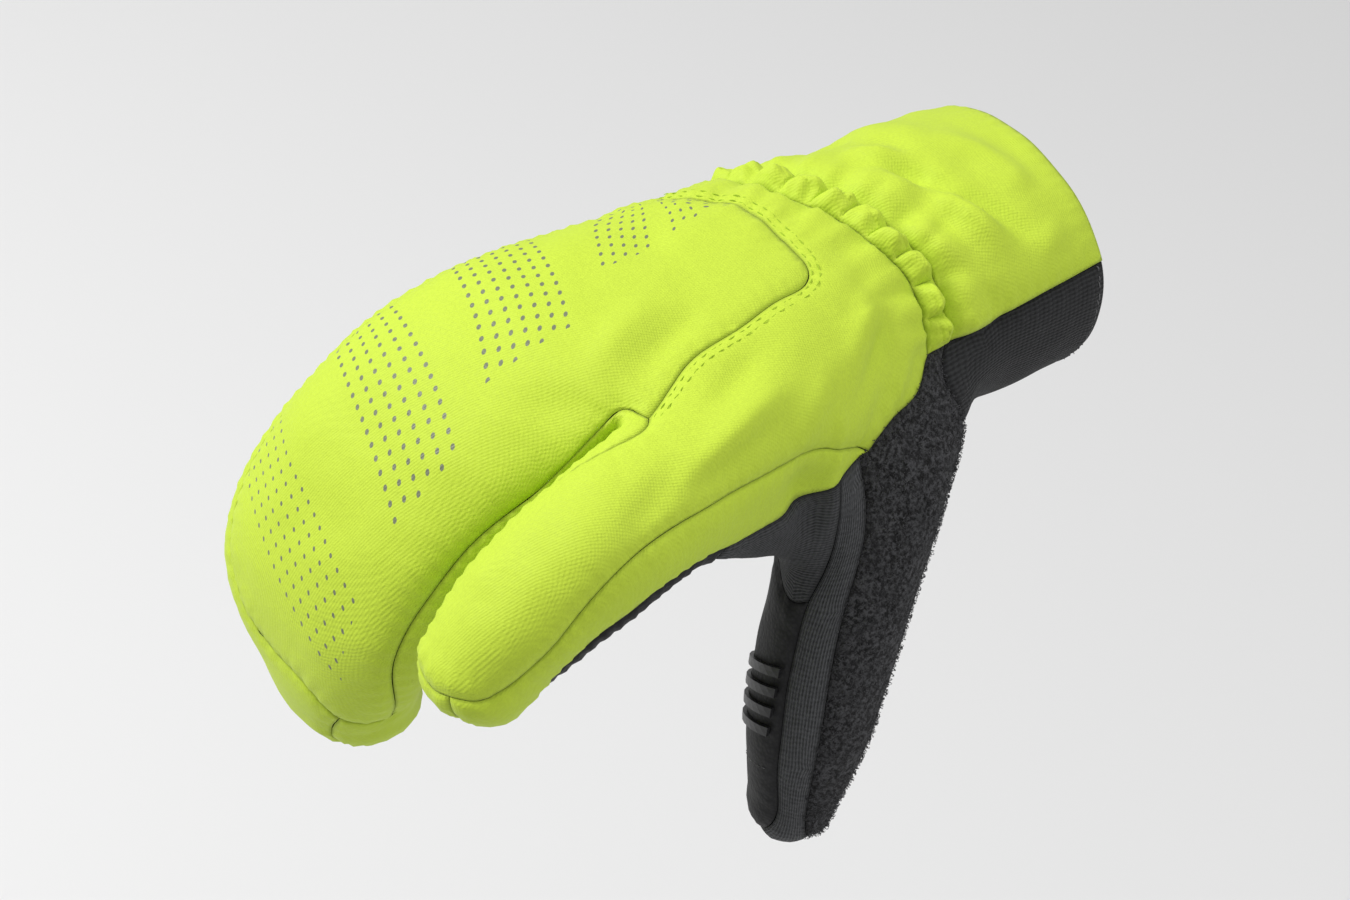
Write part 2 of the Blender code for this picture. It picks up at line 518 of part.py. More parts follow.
POINTS = {name: spot(*place) for name, place in CORNERS.items()}
EDGES = {"cuff": gather_edge(-1), "hand": gather_edge(1)}
for key, edge in EDGES.items():
    POINTS[key + "_thumb"], POINTS[key + "_outer"] = resolve(edge[0]), resolve(edge[-1])
GATHER_LINES = tuple((key + "_thumb", *edge[1:-1], key + "_outer") for key, edge in EDGES.items())


def sew_lines():
    """Samples every line as one smooth curve on the form and cuts it at its corners."""
    seams = {}
    for line in LINES + FIELD_LINES + GATHER_LINES:
        through = np.array([resolve(item) for item in line])
        chord = np.linalg.norm(np.diff(through, axis=0), axis=1)
        knots = np.concatenate(([0.0], np.cumsum(chord))) / chord.sum()
        names = [(k, item) for k, item in enumerate(line) if isinstance(item, str)]
        for (first, start), (last, end) in zip(names[:-1], names[1:]):
            length = (knots[last] - knots[first]) * chord.sum()
            count = max(1, round(length / SEAM_STEP))
            points = settle(natural_curve(through, np.linspace(knots[first], knots[last], count + 1)))
            points[0], points[-1] = POINTS[start], POINTS[end]
            if start.startswith("rim") and end.startswith("rim"):
                points[:, 0] = 0.0
            seams[start, end] = points
            seams[end, start] = points[::-1]
    return seams


for name in ("rim_thumb", "rim_palm", "rim_outer"):
    POINTS[name][0] = 0.0
SEAMS = sew_lines()


def chain(corners):
    """One side of a field: the seams between its corners, end to end."""
    names = corners.split()
    runs = [SEAMS[pair] for pair in zip(names[:-1], names[1:])]
    return np.concatenate([runs[0]] + [run[1:] for run in runs[1:]])


def unit(ways):
    return ways / np.maximum(np.linalg.norm(ways, axis=1, keepdims=True), 1e-9)


def shares_along(side):
    steps = np.linalg.norm(np.diff(side, axis=0), axis=1) + 1e-12
    return np.concatenate(([0.0], np.cumsum(steps))) / steps.sum()


def along(side, shares, at):
    return np.stack([np.interp(at, shares, column) for column in side.T], -1)


def fold_relief(points):
    """Height of the folds at the points: soft ridges round straight chords of the form."""
    total = np.zeros(len(points))
    for start, end, height, width in FOLDS:
        first, last = spot(*start), spot(*end)
        run = last - first
        share = np.clip(((points - first) @ run) / (run @ run), 0, 1)
        off = np.linalg.norm(points - first - share[:, None] * run, axis=1)
        fade = np.sin(np.pi * np.clip(share * 0.8 + 0.1, 0, 1))
        total += height * FOLD_HEIGHT * fade * np.exp(-(off / (width * FOLD_WIDTH)) ** 2)
    return total


def puff_relief(u, v):
    """Box puffs of the gather: rounded humps in a row, flat at the band's edges."""
    return GATHER_RISE * np.abs(np.sin(np.pi * GATHER_PUFFS * u)) ** 0.7 * np.sin(np.pi * v)


class Field:
    """Part of the skin inside four sides, or three, as places in the unit square and points."""

    def __init__(self, lobe, facing, *sides):
        self.sides = [chain(side) if isinstance(side, str) else side for side in sides]
        if sides[2] is None:
            self.sides[2] = np.repeat(self.sides[1][-1:], 2, 0)
        self.shares = [shares_along(side) for side in self.sides]
        self.lobe, self.facing = lobe, facing
        self.flat = [self.address(side) for side in self.sides] if lobe else self.sides

    def address(self, points):
        share, angle = LOBES[self.lobe].address(points)
        turned = (angle - self.facing + 180) % 360 - 180 + self.facing
        return np.stack([share, turned], -1)

    def at(self, u, v):
        """Coons patch of the four sides, brought out to the skin."""
        first, right, third, left = (
            along(side, shares, w) for side, shares, w in zip(self.flat, self.shares, (u, v, u, v)))
        corners = self.flat[0][0], self.flat[0][-1], self.flat[2][0], self.flat[2][-1]
        u, v = u[:, None], v[:, None]
        ruled = first * (1 - v) + third * v + left * (1 - u) + right * u
        twice = (corners[0] * (1 - u) + corners[1] * u) * (1 - v) + (corners[2] * (1 - u) + corners[3] * u) * v
        flat = ruled - twice
        return cast(self.lobe, flat[:, 0], flat[:, 1]) if self.lobe else settle(flat)

    def outline(self):
        """Places and points round the edge, anticlockwise in the unit square."""
        first, right, third, left = self.shares
        zero, one = np.zeros_like, np.ones_like
        places = np.concatenate([
            np.stack([first, zero(first)], -1)[:-1], np.stack([one(right), right], -1)[:-1],
            np.stack([third, one(third)], -1)[:0:-1], np.stack([zero(left), left], -1)[:0:-1]])
        points = np.concatenate([self.sides[0][:-1], self.sides[1][:-1], self.sides[2][:0:-1], self.sides[3][:0:-1]])
        return places, points

    def extent(self):
        """Mean length of the two long sides and of the two ends."""
        first, right, third, left = (np.linalg.norm(np.diff(side, axis=0), axis=1).sum() for side in self.sides)
        return np.array([(first + third) / 2, (right + left) / 2])

    def rows(self, cell):
        return [np.arange(1, count) / count for count in np.maximum(np.round(self.extent() / cell), 2)]

    def mesh(self, rows):
        """Places, points and outward faces: the outline with a grid of rows inside it."""
        edge_places, edge_points = self.outline()
        count = len(edge_places)
        places = np.concatenate([edge_places, np.stack(np.meshgrid(*rows, indexing="ij"), -1).reshape(-1, 2)])
        rim = [(k, (k + 1) % count) for k in range(count)]
        drawn = places * self.extent()
        solved = delaunay_2d_cdt([Vector(place) for place in drawn], rim, [list(range(count))], 1, 1e-7)
        order = np.array([spots[0] for spots in solved[3]])
        faces = order[np.array([list(face) for face in solved[2]])]
        points = np.concatenate([edge_points, self.at(*places[count:].T)])
        way = slope(points)
        a, b, c = (points[faces[:, k]] for k in range(3))
        if (np.cross(b - a, c - a) * way[faces[:, 0]]).sum() < 0:
            faces = faces[:, ::-1]
        return places, points, faces


def welded(meshes):
    """Joins fields into one sheet: points that coincide become one, and slivers go."""
    places, points = (np.concatenate([mesh[k] for mesh in meshes]) for k in (0, 1))
    shift = np.cumsum([0] + [len(mesh[1]) for mesh in meshes[:-1]])
    faces = np.concatenate([mesh[2] + start for mesh, start in zip(meshes, shift)])
    _, first, to = np.unique(np.round(points, 8), axis=0, return_index=True, return_inverse=True)
    faces = to.ravel()[faces]
    whole = (faces[:, 0] != faces[:, 1]) & (faces[:, 1] != faces[:, 2]) & (faces[:, 2] != faces[:, 0])
    return places[first], points[first], faces[whole]


def rim_of(faces):
    """The sheet's edge as one loop of points, with the faces on its left."""
    runs = {tuple(run) for face in faces.tolist() for run in zip(face, face[1:] + face[:1])}
    ahead = {a: b for a, b in runs if (b, a) not in runs}
    loop = [min(ahead)]
    while ahead[loop[-1]] != loop[0]:
        loop.append(ahead[loop[-1]])
    return np.array(loop)


def eased(places, points, faces):
    """Evens out the points inside the fields: each moves to the middle of its neighbours."""
    pairs = np.concatenate([faces[:, [0, 1]], faces[:, [1, 2]], faces[:, [2, 0]]])
    pairs = np.unique(np.concatenate([pairs, pairs[:, ::-1]]), axis=0)
    number = np.bincount(pairs[:, 0], minlength=len(points))[:, None]
    free = np.flatnonzero(((places > 0) & (places < 1)).all(1))
    for turn in range(EASE_ROUNDS):
        total = np.zeros_like(points)
        np.add.at(total, pairs[:, 0], points[pairs[:, 1]])
        points[free] = settle((total / number)[free], rounds=2 if turn < EASE_ROUNDS - 1 else 9)
    return points


def trimmed(points, way):
    """Draws a loop back from its seam by half the gap, in the skin and mitred at corners."""
    before = points - np.roll(points, 1, 0)
    after = np.roll(points, -1, 0) - points
    first, second = (unit(np.cross(way, run)) for run in (before, after))
    mitre = (first + second) / np.maximum(1 + (first * second).sum(1, keepdims=True), 0.35)
    return points + mitre * SEAM_GAP / 2


def sewn_piece(name, sheet, top, wall, relief=None):
    """Closed wall of a sheet: skin at a level, its inner face a wall below, and the rim between.

    Each rim quad is split from its end with the smaller x + y, so that both sides of a seam agree.
    """
    places, points, faces = sheet
    rim = rim_of(faces)
    if relief is None:
        points = eased(places, points, faces)
    way = unit(slope(points))
    points[rim] = trimmed(points[rim], way[rim])
    height = top + fold_relief(points)
    outer = points + way * (height + (relief(*places.T) if relief else 0))[:, None]
    inner = points + way * (height - wall)[:, None]
    total = len(points)
    walls = []
    for a, b in zip(rim.tolist(), np.roll(rim, -1).tolist()):
        if points[a, 0] + points[a, 1] < points[b, 0] + points[b, 1]:
            walls += [(b, a, b + total), (a, a + total, b + total)]
        else:
            walls += [(b, a, a + total), (b, a + total, b + total)]
    return add_object(name, np.concatenate([outer, inner]), faces.tolist() + (faces[:, ::-1] + total).tolist() + walls)


def add_object(name, points, faces):
    mesh = bpy.data.meshes.new(name)
    mesh.from_pydata(points.tolist(), [], [list(face) for face in faces])
    mesh.validate()
    mesh.shade_smooth()
    mesh.set_sharp_from_angle(angle=np.radians(40))
    piece = bpy.data.objects.new(name, mesh)
    bpy.context.scene.collection.objects.link(piece)
    return piece


def finish(piece, key):
    """Gives a piece its own material, named after it."""
    colour, roughness = FINISHES[key]
    material = bpy.data.materials.new(piece.name)
    material.use_nodes = True
    shader = material.node_tree.nodes["Principled BSDF"]
    shader.inputs["Base Color"].default_value = (*colour, 1.0)
    shader.inputs["Roughness"].default_value = roughness
    piece.data.materials.append(material)


def make_panels():
    for name, wall, key, fields in PANELS:
        drawn = [Field(*field) for field in fields]
        sheet = welded([field.mesh(field.rows(CELL)) for field in drawn])
        finish(sewn_piece(name, sheet, 0.0, wall), key)


def make_gather():
    field = Field(None, 0, "cuff_thumb cuff_outer", "cuff_outer hand_outer", "hand_thumb hand_outer",
                  "cuff_thumb hand_thumb")
    rows = [np.arange(1, count) / count for count in (4 * GATHER_PUFFS, 4)]
    finish(sewn_piece("wrist_gather", field.mesh(rows), 0.0, GATHER_WALL, puff_relief), "gather")


def make_grip_bars():
    """Slanted bars of even width across the grip panel, standing a gap above it."""
    thumb = LOBES["thumb"]
    near, far = GRIP_ANGLES
    for k in range(GRIP_BARS):
        start = GRIP_FIRST + k * GRIP_BAR_PITCH / thumb.length
        step = GRIP_BAR_WIDTH / thumb.length
        slant = GRIP_BAR_SLANT / thumb.length
        turn = np.linspace(0, 1, 9)
        low, high = (cast("thumb", start + edge * step + slant * turn, near + (far - near) * turn) for edge in (0, 1))
        ends = [settle(np.linspace(low[e], high[e], 3)) for e in (0, -1)]
        sheet = Field(None, 0, low, ends[1], high, ends[0]).mesh([turn[1:-1], np.array([0.5])])
        finish(sewn_piece(f"grip_bar_{k + 1}", sheet, SEAM_GAP + GRIP_BAR_RISE, GRIP_BAR_RISE), "silicone")


def main():
    for old in list(bpy.data.objects):
        bpy.data.objects.remove(old, do_unlink=True)
    make_panels()
    make_gather()
    make_grip_bars()


main()
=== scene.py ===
"""Visual model of a right-hand split-finger winter mitten.

The yellow shell, black palm, knit strips and terry thumb are sewn pieces of one smooth form. Each
is drawn as a coarse sheet between its seams, refined until its cells are under two millimetres,
and then given its folds, gathers, rolled seam edges and puckers as heights over the form.
"""

import json

import bmesh
import bpy
import numpy as np
from mathutils import Matrix, Vector
from mathutils.geometry import delaunay_2d_cdt

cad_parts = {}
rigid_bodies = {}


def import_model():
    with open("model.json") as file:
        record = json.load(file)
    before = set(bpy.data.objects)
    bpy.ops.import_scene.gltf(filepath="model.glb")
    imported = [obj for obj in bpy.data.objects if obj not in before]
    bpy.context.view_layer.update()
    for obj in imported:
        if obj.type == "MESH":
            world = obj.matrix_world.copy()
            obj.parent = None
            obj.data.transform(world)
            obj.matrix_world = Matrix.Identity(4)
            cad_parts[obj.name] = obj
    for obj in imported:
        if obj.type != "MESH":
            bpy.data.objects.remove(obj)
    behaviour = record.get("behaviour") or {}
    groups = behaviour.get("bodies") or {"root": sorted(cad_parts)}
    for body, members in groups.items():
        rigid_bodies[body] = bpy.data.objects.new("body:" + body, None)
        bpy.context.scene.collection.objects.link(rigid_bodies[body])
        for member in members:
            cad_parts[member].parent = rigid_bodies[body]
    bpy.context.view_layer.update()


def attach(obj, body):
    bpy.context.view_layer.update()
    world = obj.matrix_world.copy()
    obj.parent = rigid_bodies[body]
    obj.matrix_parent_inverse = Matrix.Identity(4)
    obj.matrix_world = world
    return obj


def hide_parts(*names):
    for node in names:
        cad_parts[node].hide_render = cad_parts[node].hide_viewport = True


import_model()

bl_info = {
    "name": "Split-Finger Winter Mitten",
    "version": (1, 0, 0),
    "blender": (4, 5, 0),
    "location": "View3D > Sidebar > Mitten",
    "description": "Builds a softshell winter mitten with a pocket for three fingers",
    "category": "Add Mesh",
}

# Cuff and wrist
CUFF_LENGTH = 0.058
CUFF_HALF_WIDTH = 0.039
CUFF_HALF_DEPTH = 0.031
WRIST_HALF_WIDTH = 0.035
WRIST_HALF_DEPTH = 0.0275

# Hand, from the wrist to the bottom of the slot between the pockets
PALM_LENGTH = 0.090
PALM_HALF_WIDTH = 0.0445
PALM_HALF_DEPTH = 0.0242

# Pocket for three fingers: how far it reaches past the slot and hangs below the palm
POCKET_REACH = 0.049
POCKET_DROP = 0.090
POCKET_HALF_WIDTH = 0.0385
POCKET_HALF_DEPTH = 0.020

# Pocket for the index finger
INDEX_REACH = 0.046
INDEX_DROP = 0.030
INDEX_OFFSET = 0.050
INDEX_HALF_WIDTH = 0.018
INDEX_HALF_DEPTH = 0.0185

# Thumb: how far its spine runs forward, outward and down from the wrist
THUMB_FORWARD = 0.049
THUMB_OUTWARD = 0.045
THUMB_DROP = 0.098
THUMB_HALF_WIDTH = 0.0195
THUMB_HALF_DEPTH = 0.0185

# Slot between the pockets: a narrow cut that starts this far past the end of the palm
SLOT_START = 0.002
SLOT_WIDTH = 0.0024
SLOT_OFFSET = 0.0304
SLOT_LEAN = 0.055

# Web of knit between the thumb and the index finger
WEB_LENGTH = 0.045
WEB_HALF_WIDTH = 0.014
WEB_HALF_DEPTH = 0.013

ROUNDNESS = 2.3
LOBE_SAMPLES = 72

# Each row is a section: place along the lobe, offset outward and upward, and its half width,
# height above the spine and height below it, as shares of the sizes named in made_lobes.
CUFF_SECTIONS = (
    (-0.34, 0.0, 0.0, 1.0, 0.94, 1.03),
    (0.0, 0.0, 0.0, 1.0, 0.94, 1.03),
    (0.52, 0.0, 0.01, 0.98, 0.91, 1.24),
)
WRIST_SECTIONS = (
    (1.0, 0.02, 0.05, 1.0, 0.92, 1.19),
)
PALM_SECTIONS = (
    (0.30, 0.09, 0.055, 0.94, 1.06, 1.12),
    (0.63, 0.09, 0.055, 1.0, 0.97, 1.04),
    (0.93, -0.07, 0.035, 0.87, 0.88, 0.92),
)
POCKET_SECTIONS = (
    (0.43, -0.19, -0.10, 0.99, 1.0, 1.0),
    (0.87, -0.24, -0.39, 1.0, 1.0, 0.96),
    (1.04, -0.27, -0.71, 0.965, 0.96, 0.93),
    (0.96, -0.24, -0.94, 0.76, 0.86, 0.82),
)
INDEX_SECTIONS = (
    (-1.70, 0.46, 0.03, 1.0, 0.95, 1.05),
    (-0.93, 0.66, 0.13, 1.1, 1.12, 1.22),
    (-0.17, 0.88, 0.10, 1.0, 1.03, 1.13),
    (0.30, 0.98, -0.03, 1.0, 0.97, 1.03),
    (0.76, 1.01, -0.43, 0.95, 0.92, 0.92),
    (1.07, 1.03, -0.93, 0.81, 0.76, 0.76),
)
THUMB_SECTIONS = (
    (0.0, 0.0, 0.0, 0.92, 0.88, 0.88),
    (0.39, 0.36, -0.14, 1.03, 1.08, 1.0),
    (0.69, 0.67, -0.41, 0.93, 0.98, 0.93),
    (0.90, 0.89, -0.73, 0.84, 0.86, 0.86),
    (1.0, 1.0, -1.0, 0.60, 0.65, 0.65),
)
THUMB_ROOT = (0.90, 0.54, -0.30)
WEB_SECTIONS = (
    (0.0, 0.0, 0.0, 1.0, 1.0, 1.0),
    (0.5, 0.06, 0.10, 1.0, 1.0, 1.0),
    (1.0, 0.12, 0.28, 0.85, 0.85, 0.85),
)
WEB_ROOT = (1.45, 0.88, -0.95)
THUMB_SIDE = (-0.88, 0.41, -0.25)
HAND_SIDE = (0.0, 1.0, 0.0)

# How softly the lobes run into each other
SLOT_BLEND = 0.007
SLOT_EDGE = 0.0015
THUMB_BLEND = 0.012
WEB_BLEND = 0.008


def natural_curve(rows, at):
    """Natural cubic through the rows, by chord length of their first three columns."""
    rows = np.asarray(rows, float)
    chord = np.linalg.norm(np.diff(rows[:, :3], axis=0), axis=1)
    knots = np.concatenate(([0.0], np.cumsum(chord)))
    size = len(knots)
    matrix, right = np.eye(size), np.zeros_like(rows)
    for k in range(1, size - 1):
        before, after = chord[k - 1], chord[k]
        matrix[k, k - 1:k + 2] = before, 2 * (before + after), after
        right[k] = 6 * ((rows[k + 1] - rows[k]) / after - (rows[k] - rows[k - 1]) / before)
    bend = np.linalg.solve(matrix, right)
    place = np.asarray(at) * knots[-1]
    k = np.clip(np.searchsorted(knots, place, "right") - 1, 0, size - 2)
    left, ahead, step = (knots[k + 1] - place)[:, None], (place - knots[k])[:, None], chord[k][:, None]
    cubic = (bend[k] * left ** 3 + bend[k + 1] * ahead ** 3) / (6 * step)
    return (cubic + (rows[k] / step - bend[k] * step / 6) * left
            + (rows[k + 1] / step - bend[k + 1] * step / 6) * ahead)


class Lobe:
    """A tapering round form: superellipse sections across a smooth spine, with a domed end."""

    def __init__(self, rows, side, dome):
        table = natural_curve(rows, np.linspace(0, 1, LOBE_SAMPLES))
        self.centre, self.size, self.dome = table[:, :3], table[:, 3:6], dome
        steps = np.linalg.norm(np.diff(self.centre, axis=0), axis=1)
        self.length = steps.sum()
        ahead = np.gradient(self.centre, axis=0)
        self.ahead = ahead / np.linalg.norm(ahead, axis=1, keepdims=True)
        side = np.asarray(side) - self.ahead * (self.ahead @ np.asarray(side))[:, None]
        self.side = side / np.linalg.norm(side, axis=1, keepdims=True)
        self.up = np.cross(self.ahead, self.side)

    def read(self, table, place):
        """Rows of a table at places between its samples."""
        k = np.clip(place.astype(int), 0, len(table) - 2)
        part = (place - k)[:, None]
        return table[k] * (1 - part) + table[k + 1] * part

    def place_of(self, points):
        """Nearest place on the spine, in samples."""
        apart = (self.centre ** 2).sum(1) - 2 * points @ self.centre.T
        nearest = apart.argmin(1)
        past = ((points - self.centre[nearest]) * self.ahead[nearest]).sum(1)
        step = self.length / (LOBE_SAMPLES - 1)
        return np.clip(nearest + past / step, 0, LOBE_SAMPLES - 1)

    def local(self, points):
        """Place on the spine and offsets across, up and, past its ends, along it."""
        place = self.place_of(points)
        offset = points - self.read(self.centre, place)
        across = (offset * self.read(self.side, place)).sum(1)
        upward = (offset * self.read(self.up, place)).sum(1)
        onward = (offset * self.read(self.ahead, place)).sum(1)
        inside = (place > 1e-9) & (place < LOBE_SAMPLES - 1 - 1e-9)
        return place, across, upward, np.where(inside, 0.0, onward)

    def distance(self, points):
        """Signed distance to the skin, exact along the rays from the spine."""
        place, across, upward, onward = self.local(points)
        width, above, below = self.read(self.size, place).T
        height = np.where(upward > 0, above, below)
        shares = (np.abs(across) / width) ** ROUNDNESS + (np.abs(upward) / height) ** ROUNDNESS
        shares = shares + (np.abs(onward) / self.dome) ** ROUNDNESS
        ratio = np.maximum(shares ** (1 / ROUNDNESS), 0.05)
        reach = np.sqrt(across ** 2 + upward ** 2 + onward ** 2)
        return np.where(ratio > 0.05, reach * (1 - 1 / ratio), -np.minimum(width, height))

    def address(self, points):
        """Place as a share of the spine, past 1 on the dome, and the angle round it in degrees."""
        place, across, upward, onward = self.local(points)
        tilt = np.arctan2(np.maximum(onward, 0), np.hypot(across, upward))
        return place / (LOBE_SAMPLES - 1) + tilt / (np.pi / 2), np.degrees(np.arctan2(upward, across))

    def ray(self, share, angle):
        """Start on the spine and way out of it, for places as address gives them."""
        share, angle = np.atleast_1d(share).astype(float), np.radians(np.atleast_1d(angle).astype(float))
        place = np.clip(share, 0, 1) * (LOBE_SAMPLES - 1)
        tilt = np.clip(share - 1, 0, 1) * np.pi / 2
        flat = (self.read(self.side, place) * np.cos(angle)[:, None]
                + self.read(self.up, place) * np.sin(angle)[:, None])
        way = flat * np.cos(tilt)[:, None] + self.read(self.ahead, place) * np.sin(tilt)[:, None]
        return self.read(self.centre, place), way


def blend(first, second, softness):
    """Union of two signed distances with a soft fillet between them."""
    share = np.clip(0.5 + 0.5 * (second - first) / softness, 0, 1)
    return second * (1 - share) + first * share - softness * share * (1 - share)


def scaled(sections, origin, reach, half_width, half_depth):
    """Rows of a section table in metres: the centre, then half width, height above and height below."""
    return [tuple(np.add(origin, np.multiply(row[:3], reach)))
            + (row[3] * half_width, row[4] * half_depth, row[5] * half_depth) for row in sections]


def made_lobes():
    """Turns the section tables into the four lobes of the form."""
    slot_x = CUFF_LENGTH + PALM_LENGTH
    hand = scaled(CUFF_SECTIONS, (0, 0, 0), (CUFF_LENGTH, CUFF_HALF_WIDTH, CUFF_LENGTH),
                  CUFF_HALF_WIDTH, CUFF_HALF_DEPTH)
    hand += scaled(WRIST_SECTIONS, (0, 0, 0), (CUFF_LENGTH, WRIST_HALF_WIDTH, CUFF_LENGTH),
                   WRIST_HALF_WIDTH, WRIST_HALF_DEPTH)
    hand += scaled(PALM_SECTIONS, (CUFF_LENGTH, 0, 0), (PALM_LENGTH, PALM_HALF_WIDTH, PALM_LENGTH),
                   PALM_HALF_WIDTH, PALM_HALF_DEPTH)
    hand += scaled(POCKET_SECTIONS, (slot_x, 0, 0), (POCKET_REACH, PALM_HALF_WIDTH, POCKET_DROP),
                   POCKET_HALF_WIDTH, POCKET_HALF_DEPTH)
    index = scaled(INDEX_SECTIONS, (slot_x, 0, 0), (INDEX_REACH, INDEX_OFFSET, INDEX_DROP),
                   INDEX_HALF_WIDTH, INDEX_HALF_DEPTH)
    root = np.multiply(THUMB_ROOT, (CUFF_LENGTH, PALM_HALF_WIDTH, WRIST_HALF_DEPTH))
    thumb = scaled(THUMB_SECTIONS, root, (THUMB_FORWARD, THUMB_OUTWARD, THUMB_DROP),
                   THUMB_HALF_WIDTH, THUMB_HALF_DEPTH)
    root = np.multiply(WEB_ROOT, (CUFF_LENGTH, PALM_HALF_WIDTH, PALM_HALF_DEPTH))
    web = scaled(WEB_SECTIONS, root, WEB_LENGTH, WEB_HALF_WIDTH, WEB_HALF_DEPTH)
    return {
        "hand": Lobe(hand, HAND_SIDE, 0.8 * POCKET_HALF_DEPTH),
        "index": Lobe(index, HAND_SIDE, 0.7 * INDEX_HALF_DEPTH),
        "thumb": Lobe(thumb, THUMB_SIDE, 0.68 * THUMB_HALF_DEPTH),
        "web": Lobe(web, HAND_SIDE, WEB_HALF_DEPTH),
    }


LOBES = made_lobes()


def slot(points):
    """Signed distance to the upright cut between the two pockets, rounded at its bottom."""
    onward = points[:, 0] - CUFF_LENGTH - PALM_LENGTH - SLOT_START
    across = points[:, 1] - SLOT_OFFSET - SLOT_LEAN * onward
    return np.hypot(np.minimum(onward, 0), across) - SLOT_WIDTH / 2


def form(points):
    """Signed distance to the mitten's outer skin."""
    pockets = blend(LOBES["hand"].distance(points), LOBES["index"].distance(points), SLOT_BLEND)
    pockets = -blend(-pockets, slot(points), SLOT_EDGE)
    web = blend(pockets, LOBES["web"].distance(points), WEB_BLEND)
    return blend(web, LOBES["thumb"].distance(points), THUMB_BLEND)


def slope(points, reach=0.0002):
    """Gradient of the form at the points, from four steps to the corners of a tetrahedron."""
    corners = np.array([(1, 1, 1), (1, -1, -1), (-1, 1, -1), (-1, -1, 1)], float)
    return sum(corner * form(points + corner * reach)[:, None] for corner in corners) / (4 * reach)


# Cloth walls and seams
SHELL_WALL = 0.0022
GATHER_WALL = 0.0026
KNIT_WALL = 0.0018
PALM_WALL = 0.0020
TERRY_WALL = 0.0030
SEAM_GAP = 0.0003
SEAM_STEP = 0.0060
CELL = 0.0068
EASE_ROUNDS = 8

# Elastic gather round the back of the wrist
GATHER_WIDTH = 0.009
GATHER_PUFFS = 10

# Ridges and hollows of the worn cloth
FOLD_HEIGHT = 0.0030
FOLD_WIDTH = 0.0065

# Silicone bars on the thumb's grip panel: their number and the angles where they end
GRIP_BARS = 4
GRIP_ANGLES = (146, 226)

# Each lobe's places are counted in zones: hand 0 opening, 1 wrist, 2 slot, 3 pocket's end;
# index 0 root, 1 slot, 2 end; thumb and web 0 root, 1 end. What lies past the end is on the dome.
GATHER_LINE = (
    (1.010, 9), (1.000, 26), (1.002, 44), (1.027, 58), (1.055, 86), (1.080, 103),
    (1.110, 118), (1.126, 136), (1.138, 152), (1.147, 167),
)

# Corners are lobe, place and angle; "floor" is the bottom of the slot, with its height in metres.
CORNERS = {
    "rim_thumb": ("hand", 0.0, 24), "rim_palm": ("hand", 0.0, -86), "rim_outer": ("hand", 0.0, 168),
    "cuff_heel": ("hand", 0.86, -58), "cuff_edge": ("hand", 1.08, -161),
    "back_outer": ("hand", 1.42, 158), "back_corner": ("hand", 1.325, 62), "slot": ("hand", 1.826, 24),
    "pocket_shoulder": ("hand", 2.778, 140), "pocket_back": ("hand", 2.918, 26), "pocket_side": ("hand", 2.955, 0),
    "pocket_heel": ("hand", 2.78, 225), "pocket_palm": ("hand", 2.83, 318), "pocket_under": ("hand", 2.76, 334),
    "palm_outer": ("hand", 1.96, 200), "slot_palm": ("index", 0.925, -131),
    "index_back": ("index", 2.31, 62), "index_back_side": ("index", 1.93, 20),
    "index_back_slot": ("index", 2.25, 146), "notch": ("index", 0.252, -16), "notch_under": ("index", 0.285, -18),
    "index_palm": ("index", 2.2, -92), "index_palm_side": ("index", 1.90, -40),
    "index_palm_slot": ("index", 1.95, -140),
    "web_top": ("index", 0.39, -27), "web_finger": ("index", 0.88, -36), "web_base": ("index", 0.86, -64),
    "web_palm": ("thumb", 0.42, 205),
    "web_thumb": ("thumb", 0.512, 138), "thumb_heel": ("thumb", 0.33, -98), "thumb_end": ("thumb", 1.35, -98),
    "strip_end_back": ("thumb", 1.60, -30), "strip_end_palm": ("thumb", 1.50, 215),
}
